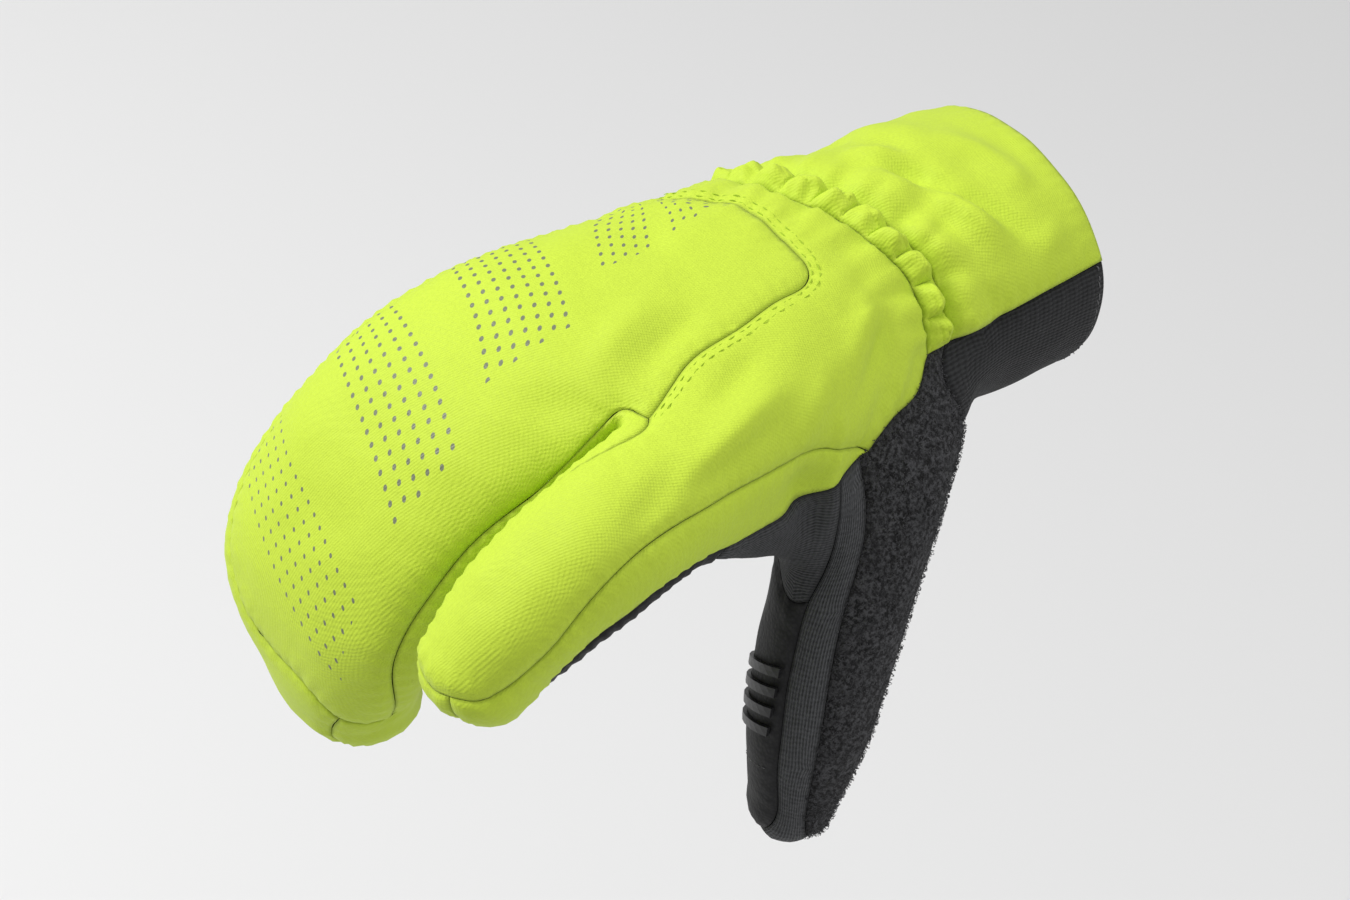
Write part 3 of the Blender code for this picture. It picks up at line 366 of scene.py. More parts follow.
# Sewn seams, each a smooth curve through named corners and other places
LINES = (
    ("rim_thumb", ("hand", 0, 50), ("hand", 0, 90), ("hand", 0, 130), "rim_outer"),
    ("rim_thumb", ("hand", 0, -10), ("hand", 0, -40), "rim_palm", ("hand", 0, -130), ("hand", 0, -165), "rim_outer"),
    ("rim_thumb", ("hand", 0.55, 17), "cuff_thumb"),
    ("rim_outer", "cuff_outer"),
    ("cuff_thumb", "hand_thumb"),
    ("cuff_outer", "hand_outer", "back_outer", ("hand", 1.65, 160), ("hand", 1.96, 162), ("hand", 2.23, 163),
     ("hand", 2.486, 161), ("hand", 2.67, 155), "pocket_shoulder", ("hand", 2.822, 117), ("hand", 2.848, 80),
     ("hand", 2.862, 44), "pocket_back", ("hand", 2.942, 12), "pocket_side"),
    ("back_outer", ("hand", 1.379, 143), ("hand", 1.317, 130), ("hand", 1.30, 114), ("hand", 1.30, 98),
     ("hand", 1.306, 78), "back_corner", ("hand", 1.36, 57), ("hand", 1.43, 55), ("hand", 1.563, 48),
     ("hand", 1.702, 38), ("hand", 1.761, 30), "slot"),
    ("slot", ("hand", 1.866, 26), ("hand", 1.956, 19), ("hand", 2.12, 12), ("hand", 2.30, 12), ("hand", 2.486, 12),
     ("hand", 2.67, 10), ("hand", 2.836, 2), "pocket_side"),
    ("slot", ("index", 0.934, 114), ("index", 0.98, 114), ("index", 1.06, 121), ("index", 1.2, 134),
     ("index", 1.4, 146), ("index", 1.6, 150), ("index", 1.8, 152), ("index", 2.0, 151), "index_back_slot",
     ("index", 2.36, 116), ("index", 2.42, 90), "index_back", ("index", 2.13, 35), "index_back_side",
     ("index", 1.81, 17), ("index", 1.66, 19), ("index", 1.46, 28), ("index", 1.25, 33), ("index", 1.05, 30),
     ("index", 0.95, 27), ("index", 0.717, 18), ("index", 0.555, 11), ("index", 0.40, 0), "notch"),
    ("hand_thumb", ("hand", 1.154, -1), ("hand", 1.241, -4), "notch"),
    ("notch", "notch_under"),
    ("cuff_thumb", ("hand", 0.993, 1), ("thumb", 0.078, 60), ("thumb", 0.086, 38), ("thumb", 0.10, 8),
     "cuff_heel", ("hand", 0.90, -90), ("hand", 0.98, -125), "cuff_edge"),
    ("cuff_outer", ("hand", 1.10, -179), "cuff_edge"),
    ("cuff_edge", ("hand", 1.45, 200), "palm_outer", ("hand", 2.3, 200), ("hand", 2.6, 205), "pocket_heel",
     ("hand", 2.84, 248), ("hand", 2.86, 275), ("hand", 2.86, 300), "pocket_palm", ("hand", 2.81, 328),
     "pocket_under", ("hand", 2.63, 337), ("hand", 2.44, 335), ("hand", 2.23, 334), ("hand", 2.05, 334), "slot_palm"),
    ("slot_palm", ("index", 1.03, -147), ("index", 1.15, -152), ("index", 1.4, -150), ("index", 1.7, -148),
     "index_palm_slot", ("index", 2.12, -120), "index_palm", ("index", 2.1, -62), "index_palm_side",
     ("index", 1.74, -26), ("index", 1.54, -19), ("index", 1.31, -19), ("index", 1.09, -25), "web_finger",
     ("index", 0.62, -34), "web_top", "notch_under"),
    ("pocket_back", ("hand", 3.15, 35), ("hand", 3.30, -20), ("hand", 3.10, -60), "pocket_palm"),
    ("index_back", ("index", 2.72, -20), "index_palm"),
    ("slot_palm", ("index", 0.91, -98), "web_base"),
    ("web_finger", "web_base", ("web", 0.75, -98), ("web", 0.35, -112), "web_palm"),
    ("web_thumb", ("thumb", 0.525, 152), ("thumb", 0.49, 180), "web_palm", ("thumb", 0.37, 235), "thumb_heel"),
    ("notch_under", ("thumb", 0.372, 106), ("thumb", 0.485, 107), ("thumb", 0.637, 105), ("thumb", 0.789, 98),
     ("thumb", 0.92, 92), ("thumb", 1.1, 84), ("thumb", 1.36, 74), ("thumb", 1.62, 30), "strip_end_back"),
    ("web_top", ("thumb", 0.384, 126), ("thumb", 0.456, 131), "web_thumb", ("thumb", 0.612, 141),
     ("thumb", 0.696, 141), ("thumb", 0.796, 136), ("thumb", 0.914, 131), ("thumb", 1.085, 127),
     ("thumb", 1.35, 140), ("thumb", 1.55, 180), "strip_end_palm"),
    ("strip_end_back", "thumb_end", "strip_end_palm"),
    ("cuff_heel", ("hand", 1.0, -56), "thumb_heel", ("thumb", 0.5, -96), ("thumb", 0.7, -95), ("thumb", 0.9, -95),
     ("thumb", 1.1, -96), "thumb_end"),
)

# Lines between the fields of one piece
FIELD_LINES = (
    ("pocket_shoulder", ("hand", 2.77, 180), "pocket_heel"),
    ("pocket_side", "pocket_under"),
    ("slot", ("floor", 0, 0.008), ("floor", 0, -0.005), "slot_palm"),
    ("index_back_slot", ("index", 2.2, 175), "index_palm_slot"),
    ("index_back_slot", ("index", 2.12, 90), "index_back_side"),
    ("slot", ("index", 0.75, 85), ("index", 0.50, 40), "notch"),
    ("hand_thumb", ("hand", 1.14, 30), "back_corner"),
    ("palm_outer", ("hand", 1.94, 270), "slot_palm"),
    ("index_palm_slot", ("index", 1.95, -90), "index_palm_side"),
    ("thumb_heel", ("thumb", 0.30, -40), ("thumb", 0.30, 20), ("thumb", 0.30, 70), "notch_under"),
    ("pocket_heel", ("hand", 2.76, 270), "pocket_under"),
)

# Pieces: name, wall, finish and fields. A field is a lobe whose rays reach it, or None, with the
# angle it faces, and four sides as chains of corners; the first and third run one way.
PANELS = (
    ("back_panel", SHELL_WALL, "softshell", (
        ("hand", 85, "back_outer pocket_shoulder", "pocket_shoulder pocket_back pocket_side",
         "back_corner slot pocket_side", "back_outer back_corner"),)),
    ("index_back_panel", SHELL_WALL, "softshell", (
        ("hand", 80, "hand_thumb hand_outer", "hand_outer back_outer", "back_corner back_outer",
         "hand_thumb back_corner"),
        (None, 0, "hand_thumb notch", "notch slot", "back_corner slot", "hand_thumb back_corner"),
        ("index", 85, "notch index_back_side", "index_back_side index_back_slot", "slot index_back_slot",
         "notch slot"),
        (None, 0, "index_back_side index_back", "index_back index_back_slot", None,
         "index_back_side index_back_slot"))),
    ("cuff_back", SHELL_WALL, "softshell", (
        ("hand", 90, "rim_thumb rim_outer", "rim_outer cuff_outer", "cuff_thumb cuff_outer", "rim_thumb cuff_thumb"),)),
    ("cuff_palm", KNIT_WALL, "rib_knit", (
        ("hand", -84, "rim_thumb rim_palm rim_outer", "rim_outer cuff_outer",
         "cuff_thumb cuff_heel cuff_edge cuff_outer", "rim_thumb cuff_thumb"),)),
    ("fourchette_outer", SHELL_WALL, "softshell", (
        ("hand", 180, "cuff_outer hand_outer back_outer pocket_shoulder", "pocket_shoulder pocket_heel",
         "cuff_edge palm_outer pocket_heel", "cuff_outer cuff_edge"),
        (None, 0, "pocket_shoulder pocket_back", "pocket_back pocket_palm", "pocket_heel pocket_palm",
         "pocket_shoulder pocket_heel"))),
    ("fourchette_middle", SHELL_WALL, "softshell", (
        (None, 0, "pocket_back pocket_side", "pocket_side pocket_under", "pocket_palm pocket_under",
         "pocket_back pocket_palm"),
        (None, 0, "pocket_side slot", "slot slot_palm", "pocket_under slot_palm", "pocket_side pocket_under"),
        (None, 0, "slot index_back_slot", "index_back_slot index_palm_slot", "slot_palm index_palm_slot",
         "slot slot_palm"),
        (None, 0, "index_back_slot index_back", "index_back index_palm", "index_palm_slot index_palm",
         "index_back_slot index_palm_slot"))),
    ("fourchette_index_side", SHELL_WALL, "softshell", (
        (None, 0, "index_back index_back_side notch", "notch notch_under",
         "index_palm index_palm_side web_finger web_top notch_under", "index_back index_palm"),)),
    ("palm_panel", PALM_WALL, "palm_cloth", (
        (None, 0, "palm_outer pocket_heel", "pocket_heel pocket_under", "slot_palm pocket_under",
         "palm_outer slot_palm"),
        (None, 0, "pocket_heel pocket_palm", "pocket_palm pocket_under", None, "pocket_heel pocket_under"),
        (None, 0, "cuff_edge palm_outer", "palm_outer slot_palm",
         "cuff_heel thumb_heel web_palm web_base slot_palm", "cuff_edge cuff_heel"))),
    ("index_palm_panel", PALM_WALL, "palm_cloth", (
        ("index", -90, "web_finger index_palm_side", "index_palm_side index_palm_slot", "slot_palm index_palm_slot",
         "web_finger web_base slot_palm"),
        (None, 0, "index_palm_side index_palm", "index_palm index_palm_slot", None,
         "index_palm_side index_palm_slot"))),
    ("thumb_web", KNIT_WALL, "web_knit", (
        (None, 0, "web_top web_finger", "web_finger web_base web_palm", "web_thumb web_palm", "web_top web_thumb"),)),
    ("thumb_side_strip", KNIT_WALL, "web_knit", (
        (None, 0, "notch_under strip_end_back", "strip_end_back thumb_end strip_end_palm",
         "web_top web_thumb strip_end_palm", "notch_under web_top"),)),
    ("thumb_grip_panel", PALM_WALL, "grip_cloth", (
        ("thumb", 195, "web_thumb strip_end_palm", "strip_end_palm thumb_end", "thumb_heel thumb_end",
         "web_thumb web_palm thumb_heel"),)),
    ("thumb_terry", TERRY_WALL, "terry", (
        ("thumb", 5, "cuff_heel thumb_heel", "thumb_heel notch_under", "cuff_thumb hand_thumb notch notch_under",
         "cuff_heel cuff_thumb"),
        ("thumb", 5, "thumb_heel thumb_end", "thumb_end strip_end_back", "notch_under strip_end_back",
         "thumb_heel notch_under"))),
)
# Folds: start, end, height and width as shares of the fold sizes; a negative height is a hollow
FOLDS = (
    (("hand", 0.60, 150), ("hand", 0.83, 81), 0.9, 0.9),
    (("hand", 0.52, 135), ("hand", 0.60, 45), 1.1, 1.0),
    (("hand", 0.68, 130), ("hand", 0.74, 50), -0.9, 0.8),
    (("hand", 0.33, 104), ("hand", 0.29, 60), 0.6, 0.9),
    (("hand", 0.29, 45), ("hand", 0.25, 33), 0.5, 0.8),
    (("hand", 1.16, 60), ("hand", 1.31, 4), -0.7, 0.8),
    (("index", 0.78, 103), ("index", 0.72, 23), 0.5, 1.3),
    (("index", 0.42, 105), ("index", 0.30, 12), 0.6, 1.4),
    (("hand", 2.08, 45), ("hand", 1.95, 28), -0.5, 0.8),
    (("web", 0.30, 70), ("thumb", 0.45, 150), 0.9, 0.9),
    (("web", 0.75, 60), ("web", 0.45, 0), -1.0, 0.8),
)


def wrist_share():
    """Where the hand's spine passes its opening, the wrist and the bottom of the slot."""
    x = LOBES["hand"].centre[:, 0]
    rising = np.argmax(x)
    shares = np.arange(LOBE_SAMPLES) / (LOBE_SAMPLES - 1)
    slot_x = CUFF_LENGTH + PALM_LENGTH
    return np.interp((0.0, CUFF_LENGTH, slot_x), x[:rising + 1], shares[:rising + 1])


def index_share():
    """Where the index finger's spine passes the bottom of the slot."""
    x = LOBES["index"].centre[:, 0]
    shares = np.arange(LOBE_SAMPLES) / (LOBE_SAMPLES - 1)
    return np.interp(CUFF_LENGTH + PALM_LENGTH, x, shares)


ZONES = {
    "hand": ((0, 1, 2, 3, 4), (*wrist_share(), 1.0, 2.0)),
    "index": ((0, 1, 2, 3), (0.0, index_share(), 1.0, 2.0)),
    "thumb": ((0, 1, 2), (0.0, 1.0, 2.0)),
    "web": ((0, 1, 2), (0.0, 1.0, 2.0)),
}


def cast(lobe, share, angle):
    """Points where rays from a lobe's spine leave the whole form."""
    start, way = LOBES[lobe].ray(share, angle)
    reach = np.full(len(start), 0.001)
    for _ in range(40):
        reach = reach - 0.85 * np.minimum(form(start + way * reach[:, None]), 0.002)
    return start + way * reach[:, None]


def settle(points, rounds=9):
    """Moves points along the form's slope until they lie on its skin."""
    for _ in range(rounds):
        grade = slope(points)
        move = grade * (form(points) / np.maximum((grade ** 2).sum(1), 0.25))[:, None]
        points = points - 0.9 * move
    return points


def spot(lobe, place, angle):
    """The skin at a lobe's place and angle, or the slot's floor at a height."""
    if lobe == "floor":
        slot_x = CUFF_LENGTH + PALM_LENGTH + SLOT_START - SLOT_WIDTH / 2
        return settle(np.array([[slot_x, SLOT_OFFSET, angle]]))[0]
    return cast(lobe, np.interp(place, *ZONES[lobe]), angle)[0]


def gather_edge(side):
    """The gather's line moved half its width towards the cuff (-1) or the hand (+1)."""
    shift = side * GATHER_WIDTH / 2 / LOBES["hand"].length
    return [("hand", place, angle, shift) for place, angle in GATHER_LINE]


def resolve(item):
    """The point that a name, a place or a place with a shift along the spine stands for."""
    if isinstance(item, str):
        return POINTS[item]
    if len(item) == 4:
        return cast(item[0], np.interp(item[1], *ZONES[item[0]]) + item[3], item[2])[0]
    return spot(*item)


POINTS = {name: spot(*place) for name, place in CORNERS.items()}
EDGES = {"cuff": gather_edge(-1), "hand": gather_edge(1)}
for key, edge in EDGES.items():
    POINTS[key + "_thumb"], POINTS[key + "_outer"] = resolve(edge[0]), resolve(edge[-1])
GATHER_LINES = tuple((key + "_thumb", *edge[1:-1], key + "_outer") for key, edge in EDGES.items())


def stretches(lines):
    """Each stretch of a line between two corners: the line's points, the corners, its reach and length."""
    for line in lines:
        through = np.array([resolve(item) for item in line])
        chord = np.linalg.norm(np.diff(through, axis=0), axis=1)
        knots = np.concatenate(([0.0], np.cumsum(chord))) / chord.sum()
        names = [(k, item) for k, item in enumerate(line) if isinstance(item, str)]
        for (first, start), (last, end) in zip(names[:-1], names[1:]):
            yield through, (start, end), knots[[first, last]], (knots[last] - knots[first]) * chord.sum()


def drawn_run(through, ends, reach, count):
    """A stretch as count steps on the skin, between its corners; the cuff's rim stays flat."""
    points = settle(natural_curve(through, np.linspace(*reach, count + 1)))
    points[0], points[-1] = (POINTS[end] for end in ends)
    if all(end.startswith("rim") for end in ends):
        points[:, 0] = 0.0
    return points


def sew_lines():
    """Samples every line as one smooth curve on the form and cuts it at its corners."""
    seams = {}
    for through, ends, reach, length in stretches(LINES + FIELD_LINES + GATHER_LINES):
        points = drawn_run(through, ends, reach, max(1, round(length / SEAM_STEP)))
        seams[ends], seams[ends[::-1]] = points, points[::-1]
    return seams


for name in ("rim_thumb", "rim_palm", "rim_outer"):
    POINTS[name][0] = 0.0
SEAMS = sew_lines()


def chain(corners):
    """One side of a field: the seams between its corners, end to end."""
    names = corners.split()
    runs = [SEAMS[pair] for pair in zip(names[:-1], names[1:])]
    return np.concatenate([runs[0]] + [run[1:] for run in runs[1:]])


def unit(ways):
    """Ways with length one."""
    return ways / np.maximum(np.linalg.norm(ways, axis=1, keepdims=True), 1e-9)


def shares_along(side):
    """Length up to each point of a side as a share of all of it."""
    steps = np.linalg.norm(np.diff(side, axis=0), axis=1) + 1e-12
    return np.concatenate(([0.0], np.cumsum(steps))) / steps.sum()


def along(side, shares, at):
    """Points of a side at shares of its length."""
    return np.stack([np.interp(at, shares, column) for column in side.T], -1)


FOLD_CHORDS = [(spot(*start), spot(*end), height, width) for start, end, height, width in FOLDS]


def ridge(off, share, height, width):
    """A fold's height at a distance from its line, lower towards the line's two ends."""
    return height * FOLD_HEIGHT * np.sin(np.pi * share) * np.exp(-(off / (width * FOLD_WIDTH)) ** 2)


def fold_relief(points):
    """Height of the folds: soft ridges and hollows round straight chords of the form."""
    total = np.zeros(len(points))
    for first, last, height, width in FOLD_CHORDS:
        run = last - first
        share = np.clip(((points - first) @ run) / (run @ run), 0, 1)
        off = np.linalg.norm(points - first - share[:, None] * run, axis=1)
        total += ridge(off, share * 0.8 + 0.1, height, width)
    return total


class Field:
    """Part of the skin inside four sides, or three, as places in the unit square and points."""

    def __init__(self, lobe, facing, *sides):
        self.sides = [chain(side) if isinstance(side, str) else side for side in sides]
        if sides[2] is None:
            self.sides[2] = np.repeat(self.sides[1][-1:], 2, 0)
        self.shares = [shares_along(side) for side in self.sides]
        self.lobe, self.facing = lobe, facing
        self.flat = [self.address(side) for side in self.sides] if lobe else self.sides

    def address(self, points):
        share, angle = LOBES[self.lobe].address(points)
        turned = (angle - self.facing + 180) % 360 - 180 + self.facing
        return np.stack([share, turned], -1)

    def at(self, u, v):
        """Coons patch of the four sides, brought out to the skin."""
        first, right, third, left = (
            along(side, shares, w) for side, shares, w in zip(self.flat, self.shares, (u, v, u, v)))
        corners = self.flat[0][0], self.flat[0][-1], self.flat[2][0], self.flat[2][-1]
        u, v = u[:, None], v[:, None]
        ruled = first * (1 - v) + third * v + left * (1 - u) + right * u
        twice = (corners[0] * (1 - u) + corners[1] * u) * (1 - v) + (corners[2] * (1 - u) + corners[3] * u) * v
        flat = ruled - twice
        return cast(self.lobe, flat[:, 0], flat[:, 1]) if self.lobe else settle(flat)

    def outline(self):
        """Places and points round the edge, anticlockwise in the unit square."""
        first, right, third, left = self.shares
        zero, one = np.zeros_like, np.ones_like
        places = np.concatenate([
            np.stack([first, zero(first)], -1)[:-1], np.stack([one(right), right], -1)[:-1],
            np.stack([third, one(third)], -1)[:0:-1], np.stack([zero(left), left], -1)[:0:-1]])
        points = np.concatenate([self.sides[0][:-1], self.sides[1][:-1], self.sides[2][:0:-1], self.sides[3][:0:-1]])
        return places, points

    def extent(self):
        """Mean length of the two long sides and of the two ends."""
        first, right, third, left = (np.linalg.norm(np.diff(side, axis=0), axis=1).sum() for side in self.sides)
        return np.array([(first + third) / 2, (right + left) / 2])

    def rows(self, cell):
        return [np.arange(1, count) / count for count in np.maximum(np.round(self.extent() / cell), 2)]

    def mesh(self, rows):
        """Places, points and outward faces: the outline with a grid of rows inside it."""
        edge_places, edge_points = self.outline()
        count = len(edge_places)
        places = np.concatenate([edge_places, np.stack(np.meshgrid(*rows, indexing="ij"), -1).reshape(-1, 2)])
        rim = [(k, (k + 1) % count) for k in range(count)]
        drawn = places * self.extent()
        solved = delaunay_2d_cdt([Vector(place) for place in drawn], rim, [list(range(count))], 1, 1e-7)
        order = np.array([spots[0] for spots in solved[3]])
        faces = order[np.array([list(face) for face in solved[2]])]
        points = np.concatenate([edge_points, self.at(*places[count:].T)])
        way = slope(points)
        a, b, c = (points[faces[:, k]] for k in range(3))
        if (np.cross(b - a, c - a) * way[faces[:, 0]]).sum() < 0:
            faces = faces[:, ::-1]
        return places, points, faces


def welded(meshes):
    """Joins fields into one sheet: points that coincide become one, and slivers go."""
    places, points = (np.concatenate([mesh[k] for mesh in meshes]) for k in (0, 1))
    shift = np.cumsum([0] + [len(mesh[1]) for mesh in meshes[:-1]])
    faces = np.concatenate([mesh[2] + start for mesh, start in zip(meshes, shift)])
    _, first, to = np.unique(np.round(points, 8), axis=0, return_index=True, return_inverse=True)
    faces = to.ravel()[faces]
    whole = (faces[:, 0] != faces[:, 1]) & (faces[:, 1] != faces[:, 2]) & (faces[:, 2] != faces[:, 0])
    return places[first], points[first], faces[whole]


def rim_of(faces):
    """The sheet's edge as one loop of points, with the faces on its left."""
    runs = {tuple(run) for face in faces.tolist() for run in zip(face, face[1:] + face[:1])}
    ahead = {a: b for a, b in runs if (b, a) not in runs}
    loop = [min(ahead)]
    while ahead[loop[-1]] != loop[0]:
        loop.append(ahead[loop[-1]])
    return np.array(loop)


def smoothed(points, faces, free, rounds, last=2):
    """Evens out the cells: each free point moves to the middle of its neighbours, back on the form."""
    pairs = np.concatenate([faces[:, [0, 1]], faces[:, [1, 2]], faces[:, [2, 0]]])
    pairs = np.unique(np.concatenate([pairs, pairs[:, ::-1]]), axis=0)
    number = np.maximum(np.bincount(pairs[:, 0], minlength=len(points)), 1)[:, None]
    for turn in range(rounds):
        total = np.stack([np.bincount(pairs[:, 0], points[pairs[:, 1], k], len(points)) for k in range(3)], -1)
        points[free] = settle((total / number)[free], rounds=2 if turn < rounds - 1 else last)
    return points


def trimmed(points, way):
    """Draws a loop back from its seam by half the gap, in the skin and mitred at corners."""
    before = points - np.roll(points, 1, 0)
    after = np.roll(points, -1, 0) - points
    first, second = (unit(np.cross(way, run)) for run in (before, after))
    mitre = (first + second) / np.maximum(1 + (first * second).sum(1, keepdims=True), 0.35)
    return points + mitre * SEAM_GAP / 2


REFINE_ROUNDS = 2

# Cloth gathered beside the elastic: height of its wrinkles, how far they reach, height of the
# elastic's puffs, and height and reach of the cuff's fullness beyond them
GATHER_FULLNESS = 0.0014
GATHER_REACH = 0.011
PUFF_RISE = 0.0032
CUFF_BILLOW = 0.0044
BILLOW_REACH = 0.022

# Sizes of the cloth's waves and wrinkles, and distances from its seams
WAVE_SIZE = 0.022
WRINKLE_SIZE = 0.0045
PUCKER_PITCH = 0.0046
PUCKER_WIDTH = 0.0022
ROLL_WIDTH = 0.0021
LINING_STEP = 0.0006

# More folds of the worn cloth, as in FOLDS, only in the visible skin
CREASES = (
    (("hand", 0.82, 100), ("hand", 0.50, 40), 1.05, 0.62),
    (("hand", 0.74, 92), ("hand", 0.36, 40), -1.15, 0.50),
    (("hand", 0.88, 128), ("hand", 0.62, 96), 0.95, 0.60),
    (("hand", 0.86, 116), ("hand", 0.66, 84), -0.95, 0.45),
    (("hand", 0.44, 118), ("hand", 0.22, 62), 0.75, 0.80),
    (("hand", 0.40, 100), ("hand", 0.26, 70), -0.75, 0.50),
    (("hand", 0.90, 60), ("hand", 0.66, 18), 0.85, 0.55),
    (("hand", 0.86, 48), ("hand", 0.60, 14), -0.80, 0.45),
    (("hand", 0.95, 80), ("hand", 0.84, 62), -0.60, 0.45),
    (("hand", 0.92, 150), ("hand", 0.60, 140), -0.50, 0.70),
    (("hand", 1.16, 44), ("hand", 1.40, 22), 0.55, 0.55),
    (("hand", 1.14, 34), ("hand", 1.40, 10), -0.60, 0.45),
    (("hand", 1.12, 22), ("hand", 1.30, -4), 0.45, 0.50),
    (("index", 0.50, 96), ("index", 0.84, 84), -0.50, 0.60),
    (("index", 0.56, 66), ("index", 0.98, 58), 0.60, 0.55),
    (("index", 0.60, 50), ("index", 1.02, 44), -0.45, 0.45),
    (("index", 0.95, 74), ("index", 1.30, 46), -0.45, 0.70),
    (("index", 0.40, 60), ("index", 0.62, 24), 0.55, 0.60),
    (("hand", 1.62, 66), ("hand", 1.84, 34), -0.50, 0.60),
    (("hand", 1.70, 84), ("hand", 1.92, 40), 0.45, 0.60),
    (("hand", 2.60, 110), ("hand", 2.35, 150), 0.30, 1.20),
    (("hand", 1.50, 150), ("hand", 1.75, 110), -0.30, 0.90),
    (("hand", 0.30, -60), ("hand", 0.75, -100), 0.60, 0.80),
    (("hand", 0.55, -40), ("hand", 0.85, -80), -0.60, 0.60),
    (("hand", 0.35, -120), ("hand", 0.80, -140), -0.45, 0.80),
    (("hand", 1.30, -100), ("hand", 1.50, -50), -0.60, 0.90),
    (("hand", 2.00, -60), ("hand", 2.10, -120), -0.55, 0.90),
    (("web", 0.55, 80), ("thumb", 0.40, 130), 0.55, 0.50),
    (("web", 0.40, 50), ("web", 0.80, 10), 0.50, 0.50),
)


def lattice(points, cell, seed):
    """Smooth value noise from -1 to 1: random numbers on a cubic lattice, blended between its points."""
    table = np.random.default_rng(seed).uniform(-1, 1, (32, 32, 32))
    place = points / cell + 100
    low = np.floor(place).astype(int)
    part = place - low
    part = part * part * (3 - 2 * part)
    total = np.zeros(len(points))
    for corner in np.ndindex(2, 2, 2):
        weight = np.prod(np.where(corner, part, 1 - part), axis=1)
        total += weight * table[tuple(((low + corner) % 32).T)]
    return total


def key_of(point):
    """A point's name in a table, the same for points that coincide."""
    return tuple(np.round(point, 7).tolist())


def seam_middles():
    """The point halfway along each piece of each seam's curve, by the piece's two ends."""
    middles = {}
    for through, ends, reach, _ in stretches(LINES + GATHER_LINES):
        coarse = len(SEAMS[ends]) - 1
        fine = drawn_run(through, ends, reach, 4 * coarse)
        fine[::4] = SEAMS[ends]
        for step in (4, 2):
            for k in range(0, 4 * coarse, step):
                pair = key_of(fine[k]), key_of(fine[k + step])
                middles[pair] = middles[pair[::-1]] = fine[k + step // 2]
    return middles


def refined(places, points, faces, middles):
    """Cuts each triangle into four; new points lie on the form, or on their seam at the sheet's edge."""
    sides = np.sort(np.concatenate([faces[:, [0, 1]], faces[:, [1, 2]], faces[:, [2, 0]]]), axis=1)
    pairs, to, uses = np.unique(sides, axis=0, return_inverse=True, return_counts=True)
    to = to.ravel()
    added = settle((points[pairs[:, 0]] + points[pairs[:, 1]]) / 2, rounds=4)
    for k in np.flatnonzero(uses == 1):
        added[k] = middles[key_of(points[pairs[k, 0]]), key_of(points[pairs[k, 1]])]
    total, count = len(points), len(faces)
    ab, bc, ca = (to[k * count:(k + 1) * count] + total for k in range(3))
    a, b, c = faces.T
    smaller = np.concatenate([np.stack(group, -1) for group in ((a, ab, ca), (ab, b, bc), (ca, bc, c), (ab, bc, ca))])
    places = np.concatenate([places, (places[pairs[:, 0]] + places[pairs[:, 1]]) / 2])
    return places, np.concatenate([points, added]), smaller


def nearest_on(line, points, closed):
    """Distance from a line of points and length along it, by its nearest straight piece."""
    ends = np.roll(line, -1, 0) if closed else line[1:]
    starts = line if closed else line[:-1]
    run = ends - starts
    length = np.linalg.norm(run, axis=1)
    before = np.concatenate(([0.0], np.cumsum(length)))[:-1]
    near = ((line ** 2).sum(1) - 2 * points @ line.T).argmin(1)
    best = np.full(len(points), np.inf)
    place = np.zeros(len(points))
    for shift in (-1, 0):
        k = (near + shift) % len(starts) if closed else np.clip(near + shift, 0, len(starts) - 1)
        share = ((points - starts[k]) * run[k]).sum(1) / np.maximum(length[k] ** 2, 1e-12)
        share = np.clip(share, 0, 1)
        off = np.linalg.norm(points - starts[k] - share[:, None] * run[k], axis=1)
        place = np.where(off < best, before[k] + share * length[k], place)
        best = np.minimum(best, off)
    return best, place


def crease_paths():
    """Each crease as a line of points on the skin, from its start to its end."""
    paths = []
    for (lobe, place, angle), (last_lobe, last_place, last_angle), height, width in CREASES:
        if lobe == last_lobe:
            share = np.linspace(0, 1, 8)
            places = np.interp(place + (last_place - place) * share, *ZONES[lobe])
            path = cast(lobe, places, angle + (last_angle - angle) * share)
        else:
            ends = spot(lobe, place, angle), spot(last_lobe, last_place, last_angle)
            path = settle(np.linspace(*ends, 8))
        paths.append((path, height, width))
    return paths


CREASE_PATHS = crease_paths()


def crease_relief(points):
    """Height of the creases: soft ridges and hollows beside lines that lie on the skin."""
    total = np.zeros(len(points))
    for path, height, width in CREASE_PATHS:
        length = np.linalg.norm(np.diff(path, axis=0), axis=1).sum()
        off, place = nearest_on(path, points, False)
        total += ridge(off, place / length * 0.9 + 0.05, height, width)
    return total


def gather_wrinkles(points, billowed=False):
    """Wrinkles that run from the gather into the cloth beside it, and the cloth's fullness there."""
    near = np.full(len(points), np.inf)
    wave = np.zeros(len(points))
    for corners in ("cuff_thumb cuff_outer", "hand_thumb hand_outer"):
        edge = chain(corners)
        length = np.linalg.norm(np.diff(edge, axis=0), axis=1).sum()
        off, place = nearest_on(edge, points, False)
        turn = np.pi * GATHER_PUFFS * place / length
        narrow = np.cos(2 * turn + 0.8 * lattice(points, 0.012, 8))
        broad = np.cos(turn + 2.0 * lattice(points, 0.02, 9))
        wave = np.where(off < near, 0.6 * narrow + 0.7 * broad, wave)
        near = np.minimum(near, off)
    rise = np.clip(near / 0.003, 0, 1) * np.exp(-near / GATHER_REACH)
    fullness = GATHER_FULLNESS * (0.9 - wave) * rise
    if billowed:
        fullness += CUFF_BILLOW * (1 - np.exp(-(near / 0.005) ** 2)) * np.exp(-near / BILLOW_REACH)
    return fullness


